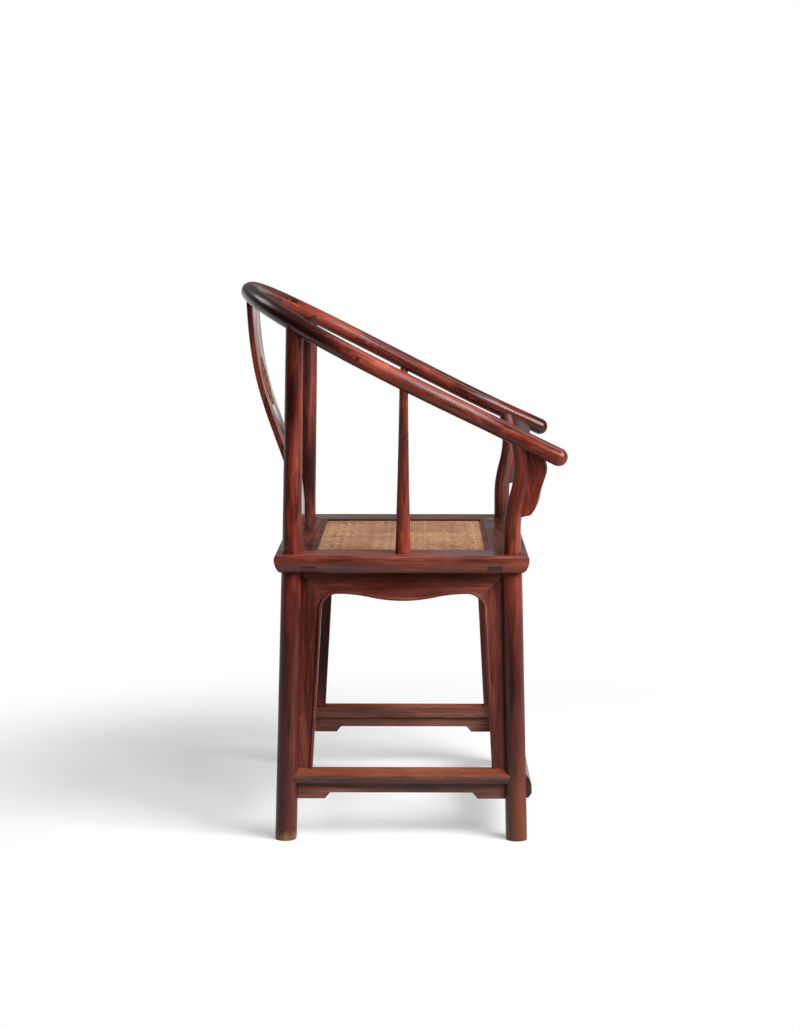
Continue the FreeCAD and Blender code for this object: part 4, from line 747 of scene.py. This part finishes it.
# Twisted palm fibre, dry and matt: a hairy brown. A real fibre is about 0.4 mm thick, and is drawn
# coarser, so that it shows.
PALM = [(0.3, "#3a2414"), (0.5, "#5f4024"), (0.7, "#7d5a36")]
PALM_FIBRE = 1.43 * MM
palm = new_material("palm_fibre_cord")
tree = palm.node_tree
here = add(tree, "ShaderNodeTexCoord").outputs["Object"]
hairs = add(tree, "ShaderNodeTexNoise", {"Vector": here, "Scale": 1 / PALM_FIBRE, "Detail": 3.0}).outputs[0]
shade = add(tree, "ShaderNodeValToRGB", {"Fac": hairs})
set_stops(shade, PALM)
shader = add(tree, "ShaderNodeBsdfPrincipled", {"Base Color": shade.outputs[0], "Roughness": 0.85})
add(tree, "ShaderNodeOutputMaterial", {"Surface": shader.outputs[0]})
finished("palm_cords", cords, palm, "palm_webbing", "seat_webbing")


# The studio
# A white paper sweep, which ends short of the camera, under soft lamps. The main lamp stands high in
# front of the chair on the camera's side, so that the shadow falls behind it. Behind the camera it is
# dark, and the wood mirrors that. Places and sizes are in metres.

FLOOR_HALF_SIZE = 9
FLOOR_EDGE = -1.35
floor_mesh = bmesh.new()
bmesh.ops.create_grid(floor_mesh, x_segments=1, y_segments=1, size=FLOOR_HALF_SIZE,
                      matrix=Matrix.Translation((FLOOR_EDGE + FLOOR_HALF_SIZE, 0, 0)))
floor_data = bpy.data.meshes.new("studio_floor")
floor_mesh.to_mesh(floor_data)
floor_mesh.free()
floor = bpy.data.objects.new("studio_floor", floor_data)
bpy.context.scene.collection.objects.link(floor)

# White paper. The camera and the wood's shine see it white, and scattered light sees it grey, so that
# undersides stay dark. Near the chair it takes the shadow, and further off it is plain white.
WHITE = "#fdfdfd"
GREY = "#707070"
SHADED_WITHIN = 0.6
PLAIN_BEYOND = 1.35
PLAIN_SHARE_NEAR = 0.35
sweep = new_material("white_sweep")
tree = sweep.node_tree
rays = add(tree, "ShaderNodeLightPath")
seen = add(tree, "ShaderNodeMath", {0: rays.outputs["Is Camera Ray"], 1: rays.outputs["Is Glossy Ray"]},
           operation="MAXIMUM")
colour = add(tree, "ShaderNodeMix", {"Factor": seen.outputs[0], "A": srgb(GREY), "B": srgb(WHITE)},
             data_type="RGBA")
paper = add(tree, "ShaderNodeBsdfDiffuse", {"Color": colour.outputs[2]})
bright = add(tree, "ShaderNodeEmission", {"Color": srgb("#ffffff"), "Strength": 1.0})
place = add(tree, "ShaderNodeTexCoord").outputs["Object"]
away = add(tree, "ShaderNodeVectorMath", {0: place}, operation="LENGTH")
fade = add(tree, "ShaderNodeMapRange", {"Value": away.outputs["Value"], "From Min": SHADED_WITHIN,
                                        "From Max": PLAIN_BEYOND, "To Min": PLAIN_SHARE_NEAR, "To Max": 1.0},
           interpolation_type="SMOOTHSTEP")
share = add(tree, "ShaderNodeMath", {0: seen.outputs[0], 1: fade.outputs[0]}, operation="MULTIPLY")
surface = add(tree, "ShaderNodeMixShader", {0: share.outputs[0], 1: paper.outputs[0], 2: bright.outputs[0]})
add(tree, "ShaderNodeOutputMaterial", {"Surface": surface.outputs[0]})
floor_data.materials.append(sweep)

# The wood mirrors a wall beyond the chair, white at its foot and dimmer above, and a dim ceiling. The
# camera sees plain white, and a faint fill light reaches the chair from all round.
FILL = 0.16
CEILING = 0.2
UPPER_WALL = 0.2
BEHIND_CAMERA = 0.02
world = bpy.data.worlds.new("white_studio")
bpy.context.scene.world = world
world.use_nodes = True
tree = world.node_tree
tree.nodes.clear()
rays = add(tree, "ShaderNodeLightPath")
facing = add(tree, "ShaderNodeSeparateXYZ", {0: add(tree, "ShaderNodeTexCoord").outputs["Generated"]})
far_wall = add(tree, "ShaderNodeMapRange", {"Value": facing.outputs["X"], "From Min": 0.1, "From Max": 0.85,
                                            "To Min": BEHIND_CAMERA, "To Max": 1.0},
               interpolation_type="SMOOTHSTEP")
ceiling = add(tree, "ShaderNodeMapRange", {"Value": facing.outputs["Z"], "From Min": 0.6, "From Max": 0.95,
                                           "To Min": 0.0, "To Max": CEILING},
              interpolation_type="SMOOTHSTEP")
horizon = add(tree, "ShaderNodeMapRange", {"Value": facing.outputs["Z"], "From Min": 0.03, "From Max": 0.1,
                                           "To Min": 1.0, "To Max": UPPER_WALL})
low_wall = add(tree, "ShaderNodeMath", {0: far_wall.outputs[0], 1: horizon.outputs[0]}, operation="MULTIPLY")
walls = add(tree, "ShaderNodeMath", {0: low_wall.outputs[0], 1: ceiling.outputs[0]}, operation="MAXIMUM")
straight = add(tree, "ShaderNodeBackground", {"Color": srgb("#ffffff"), "Strength": 1.0})
mirrored = add(tree, "ShaderNodeBackground", {"Color": srgb("#ffffff"), "Strength": walls.outputs[0]})
fill = add(tree, "ShaderNodeBackground", {"Color": srgb("#ffffff"), "Strength": FILL})
lit = add(tree, "ShaderNodeMixShader", {0: rays.outputs["Is Glossy Ray"], 1: fill.outputs[0],
                                        2: mirrored.outputs[0]})
both = add(tree, "ShaderNodeMixShader", {0: rays.outputs["Is Camera Ray"], 1: lit.outputs[0],
                                         2: straight.outputs[0]})
add(tree, "ShaderNodeOutputWorld", {"Surface": both.outputs[0]})


def soft_lamp(name, place, target, size, power):
    """A square soft lamp that faces a point."""
    lamp = bpy.data.lights.new(name, "AREA")
    lamp.size = size
    lamp.energy = power
    holder = bpy.data.objects.new(name, lamp)
    bpy.context.scene.collection.objects.link(holder)
    holder.location = place
    holder.rotation_euler = (Vector(target) - Vector(place)).to_track_quat("-Z", "Y").to_euler()


SEAT_MIDDLE = (0, 0, 0.5)
RAIL_MIDDLE = (0, 0, 0.85)
soft_lamp("main_lamp", (-1.4, -1.9, 2.0), SEAT_MIDDLE, size=1.5, power=112)
soft_lamp("near_lamp", (-2.2, -1.0, 2.0), SEAT_MIDDLE, size=1.2, power=28)
soft_lamp("top_lamp", (0, -0.8, 2.4), RAIL_MIDDLE, size=1.0, power=9)
soft_lamp("back_lamp", (0.7, 1.3, 2.2), RAIL_MIDDLE, size=0.7, power=9)


# The camera
# It stands 4.1 m to the sitter's right, a little over a metre up, and looks slightly down. Its place,
# turns and lens were fitted to where the legs, the seat frame and the rail stand in the photograph.
# Turns are in radians.

PHOTO_HEIGHT = 1029
FOCAL_PIXELS = 2223.6
SENSOR = 36
CAMERA_PLACE = (-4.1322, -0.04165, 1.0584)
CAMERA_YAW = 0.0102
CAMERA_DIP = 0.1234

lens = bpy.data.cameras.new("camera")
lens.sensor_width = SENSOR
lens.lens = SENSOR * FOCAL_PIXELS / PHOTO_HEIGHT
camera = bpy.data.objects.new("camera", lens)
bpy.context.scene.collection.objects.link(camera)
camera.location = CAMERA_PLACE
sight = Vector((math.cos(CAMERA_YAW) * math.cos(CAMERA_DIP), math.sin(CAMERA_YAW) * math.cos(CAMERA_DIP),
                -math.sin(CAMERA_DIP)))
camera.rotation_euler = sight.to_track_quat("-Z", "Y").to_euler()
bpy.context.scene.camera = camera
bpy.context.scene.view_settings.view_transform = "Standard"
